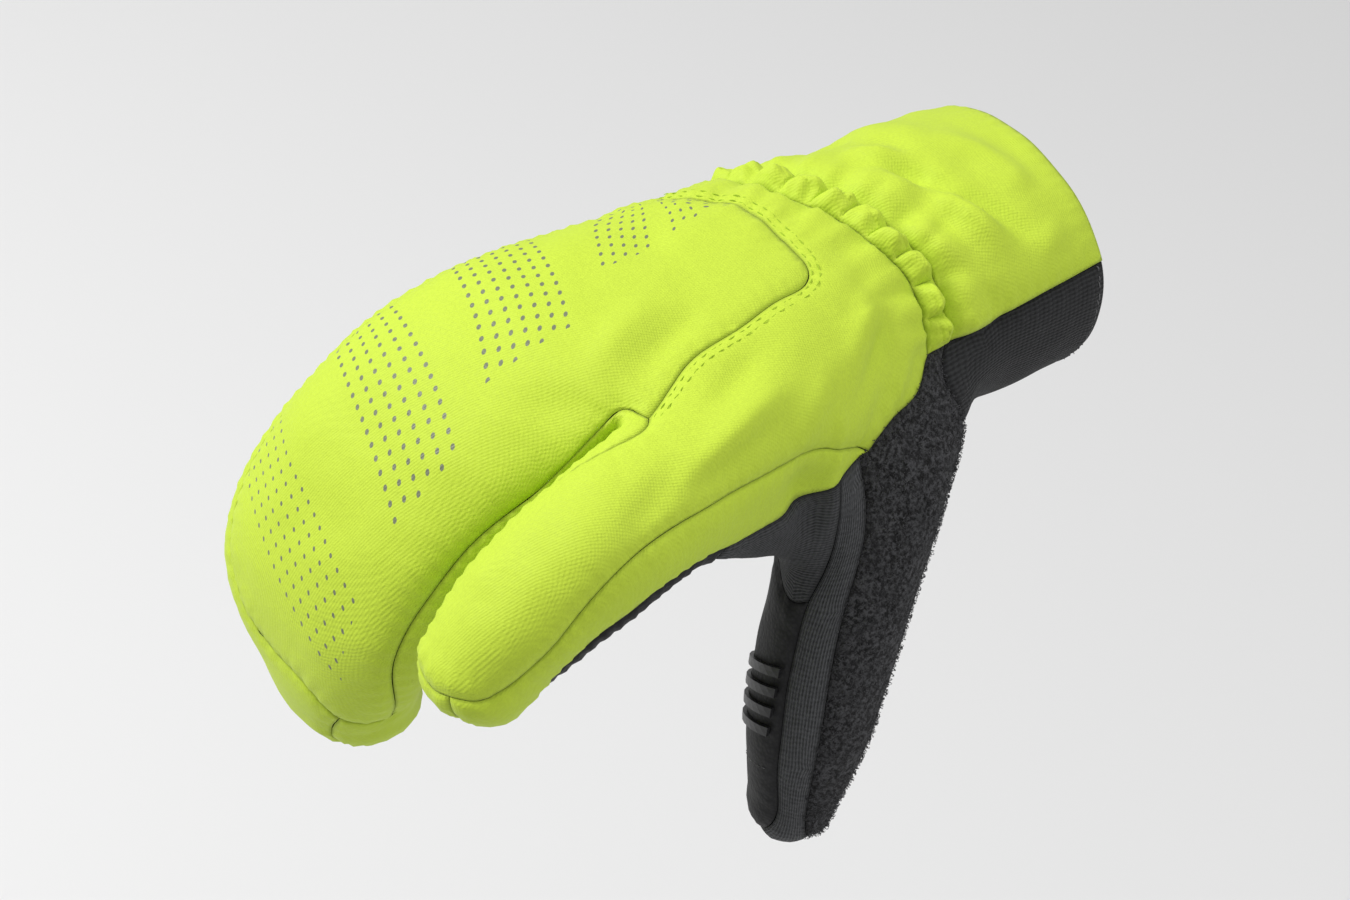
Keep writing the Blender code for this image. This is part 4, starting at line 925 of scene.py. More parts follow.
# Heights of each cloth's soft waves, small wrinkles and seam puckers, and depth of its rolled edge
RELIEFS = {
    "softshell": (0.0009, 0.00022, 0.00030, 0.0009),
    "rib_knit": (0.0006, 0.00020, 0.00020, 0.0009),
    "web_knit": (0.0004, 0.00010, 0.00015, 0.0008),
    "palm_cloth": (0.0006, 0.00022, 0.00035, 0.0010),
    "grip_cloth": (0.0004, 0.00012, 0.00020, 0.0008),
    "terry": (0.0005, 0.00030, 0.00000, 0.0009),
}


def soft_waves(points, height):
    """Broad waves of a cloth, with finer ones of half the height on them."""
    return height * lattice(points, WAVE_SIZE, 3) + height * 0.5 * lattice(points, WAVE_SIZE / 2, 4)


def cloth_relief(key, points, off, place):
    """Height over the coarse cloth: waves, wrinkles, puckers beside seams and the rolled seam edge."""
    waves, wrinkles, puckers, roll = RELIEFS[key]
    away = np.clip((off - 0.001) / 0.006, 0, 1)
    total = soft_waves(points, waves)
    total += wrinkles * lattice(points * (1.0, 0.45, 1.0), WRINKLE_SIZE, 5) * away
    phase = place / PUCKER_PITCH + 0.35 * lattice(points, 0.014, 6)
    total += puckers * np.sin(2 * np.pi * phase) * (off / PUCKER_WIDTH) * np.exp(1 - off / PUCKER_WIDTH)
    total -= roll * np.exp(-(off / ROLL_WIDTH) ** 2)
    return total


def mesh_object(name, points, faces, layers=None, uv=None):
    """An object from arrays, with values per point and places for its UV map."""
    mesh = bpy.data.meshes.new(name)
    mesh.vertices.add(len(points))
    mesh.vertices.foreach_set("co", np.asarray(points, np.float32).ravel())
    faces = np.asarray(faces, np.int32)
    sides = faces.shape[1]
    mesh.loops.add(faces.size)
    mesh.loops.foreach_set("vertex_index", faces.ravel())
    mesh.polygons.add(len(faces))
    mesh.polygons.foreach_set("loop_start", np.arange(0, faces.size, sides, dtype=np.int32))
    mesh.update(calc_edges=True)
    for key, values in (layers or {}).items():
        layer = mesh.attributes.new(key, "FLOAT", "POINT")
        layer.data.foreach_set("value", np.asarray(values, np.float32))
    if uv is not None:
        layer = mesh.uv_layers.new(name="UVMap")
        layer.data.foreach_set("uv", np.asarray(uv, np.float32)[faces.ravel()].ravel())
    mesh.validate()
    mesh.shade_smooth()
    piece = bpy.data.objects.new(name, mesh)
    bpy.context.scene.collection.objects.link(piece)
    return piece


def cloth_piece(name, sheet, extent, wall, key, middles, relief=None):
    """Closed wall: refined skin with its relief, lining a wall below, and the rim between."""
    places, points, faces = sheet
    if relief is None:
        inside = np.flatnonzero(((places > 0) & (places < 1)).all(1))
        points = smoothed(points, faces, inside, EASE_ROUNDS, 9)
    for _ in range(REFINE_ROUNDS):
        places, points, faces = refined(places, points, faces, middles)
    rim = rim_of(faces)
    points = smoothed(points, faces, np.setdiff1d(np.arange(len(points)), rim), 3)
    way = unit(slope(points))
    off, place = nearest_on(points[rim], points, True)
    points[rim] = trimmed(points[rim], way[rim])
    height = fold_relief(points)
    skin = height + crease_relief(points) + cloth_relief(key, points, off, place)
    if key == "softshell":
        skin += gather_wrinkles(points, name == "cuff_back")
    if relief is not None:
        skin += relief(*places.T)
    outer = points + way * skin[:, None]
    inner = points + way * np.minimum(skin - LINING_STEP, height - wall)[:, None]
    total = len(points)
    a, b = rim, np.roll(rim, -1)
    first = np.stack([b, a, a + total], -1)
    second = np.stack([b, a + total, b + total], -1)
    everything = np.concatenate([faces, faces[:, ::-1] + total, first, second])
    # The edge layer holds the distance from the seam in millimetres; the materials read it to paint shade beside the
    # seams.
    layers = {
        "edge": np.tile(np.minimum(off, 0.02) * 1000, 2),
        "inner": np.repeat((0.0, 1.0), total),
    }
    uv = np.tile(places * extent, (2, 1))
    piece = mesh_object(name + "_cloth", np.concatenate([outer, inner]), everything, layers, uv)
    a, b, c = (outer[faces[:, k]] for k in range(3))
    piece["flat_area"] = float(np.linalg.norm(np.cross(b - a, c - a), axis=1).sum() / 2)
    return piece


class Value:
    """A number that changes over a surface; arithmetic on it adds Math nodes."""

    def __init__(self, maker, socket):
        self.maker, self.socket = maker, socket

    def __add__(self, other):
        return self.maker.math("ADD", self, other)

    def __sub__(self, other):
        return self.maker.math("SUBTRACT", self, other)

    def __rsub__(self, other):
        return self.maker.math("SUBTRACT", other, self)

    def __mul__(self, other):
        return self.maker.math("MULTIPLY", self, other)

    def __truediv__(self, other):
        return self.maker.math("DIVIDE", self, other)

    __radd__ = __add__
    __rmul__ = __mul__


LINING = (0.035, 0.035, 0.038, 1.0)


class Maker:
    """Makes the nodes of one material."""

    def __init__(self, name):
        self.material = bpy.data.materials.new(name)
        self.material.use_nodes = True
        self.tree = self.material.node_tree
        self.shader = self.tree.nodes["Principled BSDF"]
        self.spots = Value(self, self.node("ShaderNodeTexCoord").outputs["Object"])

    def node(self, kind, settings=(), values=()):
        """A node with its settings, and with a number, a colour or a link at each named input."""
        made = self.tree.nodes.new(kind)
        for key, setting in dict(settings).items():
            setattr(made, key, setting)
        for key, value in dict(values).items():
            self.feed(made.inputs[key], value)
        return made

    def feed(self, socket, value):
        if isinstance(value, Value):
            self.tree.links.new(value.socket, socket)
        else:
            socket.default_value = value

    def math(self, operation, *terms):
        return Value(self, self.node("ShaderNodeMath", {"operation": operation}, enumerate(terms)).outputs[0])

    def attribute(self, name):
        return Value(self, self.node("ShaderNodeAttribute", {"attribute_name": name}).outputs["Fac"])

    def noise(self, size, detail=3.0, roughness=0.55):
        """Soft noise from 0 to 1 with features of a size in metres."""
        return Value(self, self.node("ShaderNodeTexNoise", (), {
            "Vector": self.spots, "Scale": 1 / size, "Detail": detail, "Roughness": roughness}).outputs["Fac"])

    def parts(self, vector):
        return [Value(self, out) for out in self.node("ShaderNodeSeparateXYZ", (), {0: vector}).outputs]

    def cloth_places(self):
        """Places along and across the flat cloth, in metres."""
        places = self.node("ShaderNodeUVMap", {"uv_map": "UVMap"}).outputs[0]
        return self.parts(Value(self, places))[:2]

    def waves(self, place, pitch):
        return self.math("SINE", place * (2 * np.pi / pitch))

    def limited(self, value, low, high):
        """0 below low, 1 above high and smooth between."""
        return Value(self, self.node("ShaderNodeMapRange", {"interpolation_type": "SMOOTHSTEP"}, {
            0: value, 1: low, 2: high, 3: 0.0, 4: 1.0}).outputs[0])

    def mixed(self, share, first, second):
        """A colour that goes from the first to the second as the share rises."""
        made = self.node("ShaderNodeMix", {"data_type": "RGBA"})
        for key, value in ((0, share), (6, first), (7, second)):
            self.feed(made.inputs[key], value)
        return Value(self, made.outputs[2])

    def lined(self, tone, lining=LINING):
        """The cloth's colour outside and its lining's inside."""
        return self.mixed(self.attribute("inner"), tone, lining)

    def seam_shaded(self, tone, low, high, share, dark):
        """The cloth's colour, with painted shade darkening it in the groove beside its seams."""
        return self.mixed((1 - self.limited(self.attribute("edge"), low, high)) * share, tone, dark)

    def finish(self, colour, roughness, height, depth, strength=1.0, sheen=0.0, gloss=0.25):
        """Sets the surface: colour, roughness, and a bump that reads height as so many metres."""
        bump = self.node("ShaderNodeBump", (), {"Strength": strength, "Distance": depth, "Height": height})
        self.feed(self.shader.inputs["Base Color"], colour)
        self.feed(self.shader.inputs["Roughness"], roughness)
        self.tree.links.new(bump.outputs[0], self.shader.inputs["Normal"])
        self.shader.inputs["Sheen Weight"].default_value = sheen
        self.shader.inputs["Sheen Roughness"].default_value = 0.5
        self.shader.inputs["Specular IOR Level"].default_value = gloss
        return self.material


def shade(colour, factor):
    """A colour made darker or lighter."""
    return tuple(min(1.0, part * factor) for part in colour[:3]) + (1.0,)


# Distance between the columns of dots and between the dots of one column
DOT_COLUMNS = 0.0037
DOT_ROWS = 0.0031
# Bands of dots on the back: start along the hand, columns, lean, start and end across, dot radius
DOT_BANDS = (
    (0.1245, 6, 0.23, 0.0020, 0.0495, 0.00044),
    (0.0820, 6, 0.32, 0.0020, 0.0470, 0.00056),
    (0.0395, 7, 0.55, 0.0020, 0.0390, 0.00060),
    (0.0043, 5, 0.77, 0.0020, 0.0280, 0.00058),
    (-0.0195, 5, 0.77, 0.0020, 0.0270, 0.00055),
)


def softshell_material(name, colour, dotted=False):
    """Smooth stretch twill: a fine slanting weave, faint mottling, and painted shade in the grooves beside its seams.
    """
    maker = Maker(name)
    x, y, z = maker.parts(maker.spots)
    mottle = maker.noise(0.0009, 2.0)
    broad = maker.noise(0.03, 2.0)
    tone = maker.mixed(maker.limited(mottle, 0.3, 0.7), shade(colour, 0.96), shade(colour, 1.03))
    tone = maker.mixed(maker.limited(broad, 0.35, 0.65) * 0.3, tone, shade(colour, 0.93))
    # Painted shade: the yellow darkens in the groove beside each seam.
    tone = maker.seam_shaded(tone, 0.1, 0.9, 0.5, shade(colour, 0.6))
    rough = 0.60 + 0.14 * mottle
    if dotted:
        dots = dot_mask(maker)
        tone = maker.mixed(dots, tone, (0.17, 0.19, 0.12, 1.0))
        rough = rough - 0.28 * dots
    tone = maker.lined(tone, (0.05, 0.05, 0.055, 1.0))
    weave = maker.waves(x * 0.9 + y * 0.7 + z * 0.5, 0.0009) * maker.waves(x * 0.5 - y * 0.8 + z * 0.6, 0.0013)
    height = weave * 0.35 + maker.noise(0.0006, 2.0) + maker.noise(0.004, 3.0) * 1.2
    return maker.finish(tone, rough, height, 0.00022, 0.5, sheen=0.05, gloss=0.3)


def dot_mask(maker):
    """Round dots in slanting bands; every other column of a band is moved by half a dot's distance."""
    u, v = maker.cloth_places()
    total = None
    for start, columns, lean, low, high, radius in DOT_BANDS:
        column = (u - v * lean - start) / DOT_COLUMNS
        number = maker.math("FLOOR", column)
        row = v / DOT_ROWS + maker.math("MODULO", number, 2.0) * 0.5
        off_column = (maker.math("FRACT", column) - 0.5) * DOT_COLUMNS
        off_row = (maker.math("FRACT", row) - 0.5) * DOT_ROWS
        off = maker.math("SQRT", off_column * off_column + off_row * off_row)
        inside = maker.math("GREATER_THAN", column, 0.0) * maker.math("LESS_THAN", column, float(columns))
        inside = inside * maker.math("GREATER_THAN", v, low) * maker.math("LESS_THAN", v, high)
        dot = inside * (1 - maker.limited(off, radius * 0.85, radius * 1.2))
        total = dot if total is None else maker.math("MAXIMUM", total, dot)
    return total


def rib_material(name, colour, pitch, cross, lengthwise=True):
    """Knit with round ribs along the cloth and a small stitch across them; painted light on the rib tops, painted shade
    in their hollows and beside the seams.
    """
    maker = Maker(name)
    u, v = maker.cloth_places()
    along, over = (u, v) if lengthwise else (v, u)
    ribs = maker.waves(over, pitch)
    steps = maker.waves(along + ribs * 0.00012, cross)
    mottle = maker.noise(0.0011, 3.0)
    # Painted light and shade: the rib tops are lighter and the hollows between them darker, following the same ribs as
    # the bump.
    rib_light_mask = maker.limited(ribs * 0.7 + steps * 0.3, -0.7, 0.8)
    tone = maker.mixed(rib_light_mask, shade(colour, 0.45), shade(colour, 1.35))
    tone = maker.mixed(maker.limited(mottle, 0.35, 0.75) * 0.4, tone, shade(colour, 1.9))
    tone = maker.lined(tone)
    # Painted shade: the knit darkens in the groove beside each seam.
    tone = maker.seam_shaded(tone, 0.1, 1.2, 0.6, shade(colour, 0.3))
    height = ribs * 0.8 + steps * 0.35 + maker.noise(0.0007, 2.0) * 0.5
    return maker.finish(tone, 0.72 + 0.15 * mottle, height, 0.00025, 0.7, sheen=0.04)


def palm_material(name, colour):
    """Fine black palm cloth with a pebbled, slightly worn face and painted shade in the hollows between the pebbles."""
    maker = Maker(name)
    pebble = maker.node("ShaderNodeTexVoronoi", {"feature": "F1"}, {"Vector": maker.spots, "Scale": 1 / 0.0011})
    grain = Value(maker, pebble.outputs["Distance"])
    wear = maker.noise(0.016, 4.0, 0.65)
    tone = maker.mixed(maker.limited(wear, 0.4, 0.7), colour, shade(colour, 1.9))
    # Painted shade: the colour darkens in the hollows between the pebbles, where the bump is lowest.
    tone = maker.mixed(maker.limited(grain, 0.2, 0.7) * 0.5, tone, shade(colour, 0.5))
    tone = maker.lined(tone)
    height = grain * -0.8 + maker.noise(0.0025, 3.0)
    return maker.finish(tone, 0.52 + 0.25 * wear, height, 0.00025, 0.6, sheen=0.03)


def terry_material(name, colour):
    """Looped pile: painted shade in the curly hollows and painted light on the loop tops."""
    maker = Maker(name)
    curls = maker.noise(0.0012, 4.0, 0.7)
    clumps = maker.noise(0.005, 2.0)
    # Painted shade and light: the colour follows the bump, dark in the curly hollows and pale on the loop tops.
    tone = maker.mixed(maker.limited(curls, 0.40, 0.62), shade(colour, 0.30), shade(colour, 3.4))
    tone = maker.mixed(maker.limited(clumps, 0.4, 0.65) * 0.3, tone, shade(colour, 1.8))
    tone = maker.lined(tone)
    return maker.finish(tone, 0.93 + 0.05 * clumps, curls + clumps * 0.5, 0.0009, 0.9, sheen=0.06)


def silicone_material(name, colour):
    """Glossy rubbed silicone with faint smears."""
    maker = Maker(name)
    smears = maker.noise(0.004, 3.0)
    tone = maker.mixed(smears, shade(colour, 0.8), shade(colour, 1.6))
    return maker.finish(tone, 0.30 + 0.18 * smears, maker.noise(0.0012, 2.0), 0.00008, 0.4, gloss=0.35)


def thread_material(name, colour):
    """Twisted sewing thread."""
    maker = Maker(name)
    twist = maker.noise(0.0003, 1.0)
    tone = maker.mixed(twist, shade(colour, 0.7), shade(colour, 1.2))
    return maker.finish(tone, 0.55 + 0.2 * twist, twist, 0.0001, 0.6, sheen=0.1)


def floor_material(name, colour):
    """Plain paper of the floor."""
    maker = Maker(name)
    drift = maker.noise(0.6, 2.0)
    tone = maker.mixed(drift * 0.3, colour, shade(colour, 0.985))
    return maker.finish(tone, 0.9 + 0.05 * drift, maker.noise(0.02, 1.0), 0.0001, 0.1)


def stitch_row(name, line, way, pitch, length, thickness, lift, lean=0.0):
    """Stitches along a line: each is a short eight-sided grain, fat in its middle, sunk at its ends.

    Point = place on the line + across * radius(t) cos(a) + up * (lift + arch(t) + radius(t) sin(a)),
    where t runs along the stitch, radius is the root of 1 - t squared, and arch falls to the ends.
    """
    steps = np.linalg.norm(np.diff(line, axis=0), axis=1)
    at = np.concatenate(([0.0], np.cumsum(steps)))
    middles = np.arange(pitch / 2, at[-1], pitch)
    t = np.linspace(-1, 1, 7)
    place = middles[:, None] + t[None] * length / 2
    centre = np.stack([np.interp(place, at, line[:, k]) for k in range(3)], -1)
    up = unit(np.stack([np.interp(place, at, way[:, k]) for k in range(3)], -1))
    ahead = unit(np.gradient(centre, axis=1))
    across = unit(np.cross(up, ahead))
    centre = centre + across * (lean * t)[None, :, None]
    radius = thickness / 2 * np.sqrt(np.maximum(1 - t ** 2, 0.02))
    return grain_mesh(name, centre, across, up, radius, lift - 0.5 * thickness * t ** 4, 8)


def grain_mesh(name, centre, across, over, radius, lift, sides):
    """Closed tubes round rows of centres: rings of quads and a fan of quads over each end.

    Point = centre + across * radius cos(a) + over * (lift + radius sin(a)), for angles a round it.
    """
    a = np.linspace(0, 2 * np.pi, sides, endpoint=False)
    ring = (across[:, :, None] * (radius[:, None] * np.cos(a))[None, :, :, None]
            + over[:, :, None] * (lift[:, None] + radius[:, None] * np.sin(a))[None, :, :, None])
    points = (centre[:, :, None] + ring).reshape(-1, 3)
    count, rings = centre.shape[:2]
    k, i, j = np.meshgrid(np.arange(count), np.arange(rings - 1), np.arange(sides), indexing="ij")
    start = (k * rings + i) * sides
    following = (j + 1) % sides
    quads = np.stack([start + j, start + following, start + sides + following, start + sides + j], -1)
    caps = []
    base = np.arange(count) * rings * sides
    for m in range(sides // 2 - 1):
        low = np.stack([base + m, base + sides - 1 - m, base + sides - 2 - m, base + m + 1], -1)
        far = low + (rings - 1) * sides
        caps += [low, far[:, ::-1]]
    return mesh_object(name, points, np.concatenate([quads.reshape(-1, 4)] + caps))


def pile(name, points, way, count, length, thickness, seed):
    """Loops of pile: each a thin bent grain that leaves the cloth and curls over.

    Centre = root + up * reach sin(2.4 t) + lean * 0.42 reach (1 - cos(2.4 t)), t from 0 to 1.
    """
    rng = np.random.default_rng(seed)
    chosen = rng.choice(len(points), count, replace=count > len(points))
    root, up = points[chosen], way[chosen]
    turn = rng.uniform(0, 2 * np.pi, count)
    side = unit(np.cross(up, (0.3, 0.5, 0.8)))
    other = np.cross(up, side)
    lean = side * np.cos(turn)[:, None] + other * np.sin(turn)[:, None]
    root = root + lean * rng.uniform(0, 0.0009, (count, 1)) - up * 0.0004
    reach = length * rng.uniform(0.55, 1.15, count)
    t = np.linspace(0, 1, 5)
    centre = (root[:, None] + up[:, None] * (reach[:, None] * np.sin(2.4 * t))[..., None]
              + lean[:, None] * (reach[:, None] * 0.7 * (1 - np.cos(2.4 * t)) * 0.6)[..., None])
    ahead = unit(np.gradient(centre, axis=1))
    across = unit(np.cross(ahead, up[:, None] + 0.01))
    radius = thickness / 2 * np.array([1.0, 1.1, 1.1, 1.0, 0.5])
    return grain_mesh(name, centre, across, np.cross(ahead, across), radius, np.zeros(len(t)), 4)


class MittenShape(bpy.types.PropertyGroup):
    """Sizes that finish the cloth."""
    topstitch_inset: bpy.props.FloatProperty(
        name="Topstitch inset", description="Distance of the stitches from the back seam", default=0.0021,
        min=0.001, max=0.006, unit="LENGTH")
    stitch_pitch: bpy.props.FloatProperty(
        name="Stitch pitch", description="Distance between stitches", default=0.0030, min=0.001, max=0.01,
        unit="LENGTH")
    thread: bpy.props.FloatProperty(
        name="Thread", description="Thickness of the sewing thread", default=0.0005, min=0.0002, max=0.002,
        unit="LENGTH")
    pile_length: bpy.props.FloatProperty(
        name="Pile length", description="Length of the terry's loops", default=0.0011, min=0.0005, max=0.005,
        unit="LENGTH")
    pile_count: bpy.props.IntProperty(
        name="Pile count", description="Number of loops in the terry", default=9000, min=100, max=20000)


class MittenColours(bpy.types.PropertyGroup):
    """Colours of the cloths."""
    shell: bpy.props.FloatVectorProperty(
        name="Shell", description="Softshell of the back and the cuff", subtype="COLOR", size=4,
        default=(0.52, 0.68, 0.045, 1.0), min=0, max=1)
    knit: bpy.props.FloatVectorProperty(
        name="Knit", description="Ribbed knit of the thumb's strip and web", subtype="COLOR", size=4,
        default=(0.036, 0.037, 0.039, 1.0), min=0, max=1)
    palm: bpy.props.FloatVectorProperty(
        name="Palm", description="Cloth of the palm", subtype="COLOR", size=4,
        default=(0.014, 0.014, 0.015, 1.0), min=0, max=1)
    terry: bpy.props.FloatVectorProperty(
        name="Terry", description="Looped cloth of the thumb's back", subtype="COLOR", size=4,
        default=(0.022, 0.022, 0.0235, 1.0), min=0, max=1)
    silicone: bpy.props.FloatVectorProperty(
        name="Silicone", description="Grip bars", subtype="COLOR", size=4,
        default=(0.012, 0.012, 0.013, 1.0), min=0, max=1)


# Filled as the pieces are made: middles of the seams' pieces, and the panels by name
MIDDLES = {}
DRAWN = {}


def dress(piece, node, material):
    """Gives a piece its material and the root body, and hides the part named by its node."""
    piece.data.materials.append(material)
    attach(piece, "root")
    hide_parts(node)
    return piece


def make_panels(names, materials):
    """Makes the named panels; each one's cloth places are scaled by the extent of its first field."""
    for name, wall, key, fields in PANELS:
        if name not in names:
            continue
        drawn = [Field(*field) for field in fields]
        extent = drawn[0].extent()
        sheet = welded([field.mesh(field.rows(CELL)) for field in drawn])
        piece = cloth_piece(name, sheet, extent, wall, key, MIDDLES)
        dress(piece, name, materials[key])
        DRAWN[name] = piece


class MITTEN_OT_shell(bpy.types.Operator):
    """Make the yellow softshell panels of the back, the cuff and the pockets' sides"""
    bl_idname = "mitten.shell"
    bl_label = "Shell panels"

    def execute(self, context):
        colour = context.scene.mitten_colours.shell
        make_panels(("index_back_panel", "cuff_back", "fourchette_outer", "fourchette_middle",
                     "fourchette_index_side"), {"softshell": softshell_material("softshell", colour)})
        make_panels(("back_panel",), {"softshell": softshell_material("dotted_softshell", colour, dotted=True)})
        return {"FINISHED"}


class MITTEN_OT_palm(bpy.types.Operator):
    """Make the black cloth panels of the palm and of the thumb's grip"""
    bl_idname = "mitten.palm"
    bl_label = "Palm panels"

    def execute(self, context):
        cloth = palm_material("palm_cloth", context.scene.mitten_colours.palm)
        make_panels(("palm_panel", "index_palm_panel", "thumb_grip_panel"),
                    {"palm_cloth": cloth, "grip_cloth": cloth})
        return {"FINISHED"}


class MITTEN_OT_knit(bpy.types.Operator):
    """Make the ribbed knit of the cuff's underside, the thumb's side strip and the web"""
    bl_idname = "mitten.knit"
    bl_label = "Knit pieces"

    def execute(self, context):
        colour = context.scene.mitten_colours.knit
        # Painted shade and painted light: one knit colour, darkened for the cuff's underside and lightened for the web
        # and the strip.
        for name, key, cloth, factor, pitch, cross, lengthwise in (
                ("cuff_palm", "rib_knit", "cuff_knit", 0.6, 0.0013, 0.0017, False),
                ("thumb_web", "web_knit", "web_knit", 1.2, 0.0011, 0.0015, True),
                ("thumb_side_strip", "web_knit", "strip_knit", 1.7, 0.0011, 0.0015, True)):
            make_panels((name,), {key: rib_material(cloth, shade(colour, factor), pitch, cross, lengthwise)})
        return {"FINISHED"}


class MITTEN_OT_terry(bpy.types.Operator):
    """Make the terry of the thumb's back with its pile of loops"""
    bl_idname = "mitten.terry"
    bl_label = "Terry thumb"

    def execute(self, context):
        sizes, colour = context.scene.mitten_shape, context.scene.mitten_colours.terry
        make_panels(("thumb_terry",), {"terry": terry_material("terry", colour)})
        mesh = DRAWN["thumb_terry"].data
        points = np.zeros(len(mesh.vertices) * 3, np.float32)
        mesh.vertices.foreach_get("co", points)
        points = points.reshape(-1, 3)[:len(mesh.vertices) // 2].astype(float)
        loops = pile("terry_pile", points, unit(slope(points)), sizes.pile_count, sizes.pile_length,
                     FIBRE_THICKNESS, PILE_SEED)
        sew(loops, terry_fibre_material("terry_fibre", colour))
        return {"FINISHED"}


FIBRE_THICKNESS = 0.00022
PILE_SEED = 11


def terry_fibre_material(name, colour):
    """Matt fibre that is darker in some clumps."""
    maker = Maker(name)
    drift = maker.noise(0.003, 2.0)
    tone = maker.mixed(maker.limited(drift, 0.35, 0.65), shade(colour, 1.0), shade(colour, 3.6))
    return maker.finish(tone, 0.85 + 0.1 * drift, drift, 0.0001, 0.3, sheen=0.06)


def tidy_normals(piece):
    """Turns each closed grain's faces outwards."""
    work = bmesh.new()
    work.from_mesh(piece.data)
    bmesh.ops.recalc_face_normals(work, faces=work.faces)
    work.to_mesh(piece.data)
    work.free()


class MITTEN_OT_gather(bpy.types.Operator):
    """Make the elastic gather round the back of the wrist"""
    bl_idname = "mitten.gather"
    bl_label = "Wrist gather"

    def execute(self, context):
        field = Field(None, 0, "cuff_thumb cuff_outer", "cuff_outer hand_outer", "hand_thumb hand_outer",
                      "cuff_thumb hand_thumb")
        rows = [np.arange(1, count) / count for count in (8 * GATHER_PUFFS, 7)]
        extent = field.extent()
        piece = cloth_piece("wrist_gather", field.mesh(rows), extent, GATHER_WALL, "softshell", MIDDLES,
                            gather_relief)
        material = softshell_material("gather_softshell", context.scene.mitten_colours.shell)
        dress(piece, "wrist_gather", material)
        return {"FINISHED"}


def gather_relief(u, v):
    """Box puffs: each rises steeply at its sides, and every other one leans towards the hand."""
    turn = GATHER_PUFFS * u
    number = np.floor(turn)
    skew = np.where(number % 2 < 1, 0.16, -0.16)
    hump = np.abs(np.sin(np.pi * turn)) ** 0.38
    across = np.sin(np.pi * np.clip(v + skew * np.sin(np.pi * v), 0, 1)) ** 0.6
    crush = 1 + 0.12 * np.sin(5.1 * number + 6 * v) * hump
    return PUFF_RISE * hump * across * crush


class MITTEN_OT_bars(bpy.types.Operator):
    """Give the silicone grip bars their finish"""
    bl_idname = "mitten.bars"
    bl_label = "Grip bars"

    def execute(self, context):
        material = silicone_material("grip_silicone", context.scene.mitten_colours.silicone)
        for k in range(GRIP_BARS):
            for slot in bpy.data.objects[f"grip_bar_{k + 1}"].material_slots:
                slot.material = material
        return {"FINISHED"}


# Step of the lines that stitches follow, distance of the overlocking from the cuff's edge, and
# place of the thumb's stitch line along the thumb with how far it slants
INSET_STEP = 0.001
OVERLOCK_INSET = 0.0022
THUMB_STITCHES = 0.885
THUMB_SLANT = 0.045


def inset_line(corners, panel_side, inset):
    """A seam moved over the form by an inset, with the way out of the form along it."""
    seam = chain(corners)
    steps = np.linalg.norm(np.diff(seam, axis=0), axis=1)
    at = np.concatenate(([0.0], np.cumsum(steps)))
    fine = np.linspace(0, at[-1], int(at[-1] / INSET_STEP))
    line = np.stack([np.interp(fine, at, seam[:, k]) for k in range(3)], -1)
    for _ in range(6):
        line[1:-1] = (line[:-2] + line[2:] + 2 * line[1:-1]) / 4
    line = settle(line)
    way = unit(slope(line))
    ahead = unit(np.gradient(line, axis=0))
    line = settle(line + np.cross(way, ahead) * panel_side * inset)
    return line, unit(slope(line))


class MITTEN_OT_stitches(bpy.types.Operator):
    """Make the topstitching of the back seam, the thumb's stitch line and the cuff's overlocking"""
    bl_idname = "mitten.stitches"
    bl_label = "Stitches"

    def execute(self, context):
        sizes = context.scene.mitten_shape
        # Painted shade: the shell thread is the shell's yellow darkened.
        thread = thread_material("shell_thread", (0.36, 0.52, 0.02, 1.0))
        grey = thread_material("grey_thread", (0.17, 0.17, 0.175, 1.0))
        for number, inset in ((1, 0.6 * sizes.topstitch_inset), (2, 1.5 * sizes.topstitch_inset)):
            line, way = inset_line("back_outer back_corner slot", 1, inset)
            line = line + way * surface_height(line, "softshell", inset)[:, None]
            row = stitch_row(f"back_topstitch_{number}", line, way, sizes.stitch_pitch,
                             0.72 * sizes.stitch_pitch, sizes.thread, 0.0001)
            sew(row, thread)
        line, way = inset_line("rim_thumb rim_palm rim_outer", -1, OVERLOCK_INSET)
        line = line + way * surface_height(line, "rib_knit", OVERLOCK_INSET)[:, None]
        row = stitch_row("cuff_overlock", line, way, 0.0026, 0.0022, sizes.thread, 0.0002, lean=0.0012)
        sew(row, grey)
        turn = np.linspace(0, 1, 24)
        near, far = GRIP_ANGLES
        line = cast("thumb", THUMB_STITCHES + THUMB_SLANT * turn, near - 2 + (far - near) * turn)
        way = unit(slope(line))
        line = line + way * surface_height(line, "grip_cloth", 0.02)[:, None]
        row = stitch_row("grip_stitches", line, way, 0.0020, 0.0013, 0.8 * sizes.thread, 0.0001)
        sew(row, grey)
        return {"FINISHED"}


def surface_height(line, key, inset):
    """Height of a cloth at a distance from its seam, without its small wrinkles and puckers."""
    waves, _, _, roll = RELIEFS[key]
    height = fold_relief(line) + crease_relief(line) + soft_waves(line, waves)
    if key == "softshell":
        height += gather_wrinkles(line)
    return height - roll * np.exp(-(inset / ROLL_WIDTH) ** 2)


def sew(piece, material):
    """Turns the faces of small grains that lie on a piece outwards, and gives them their material and the root body."""
    tidy_normals(piece)
    piece.data.materials.append(material)
    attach(piece, "root")


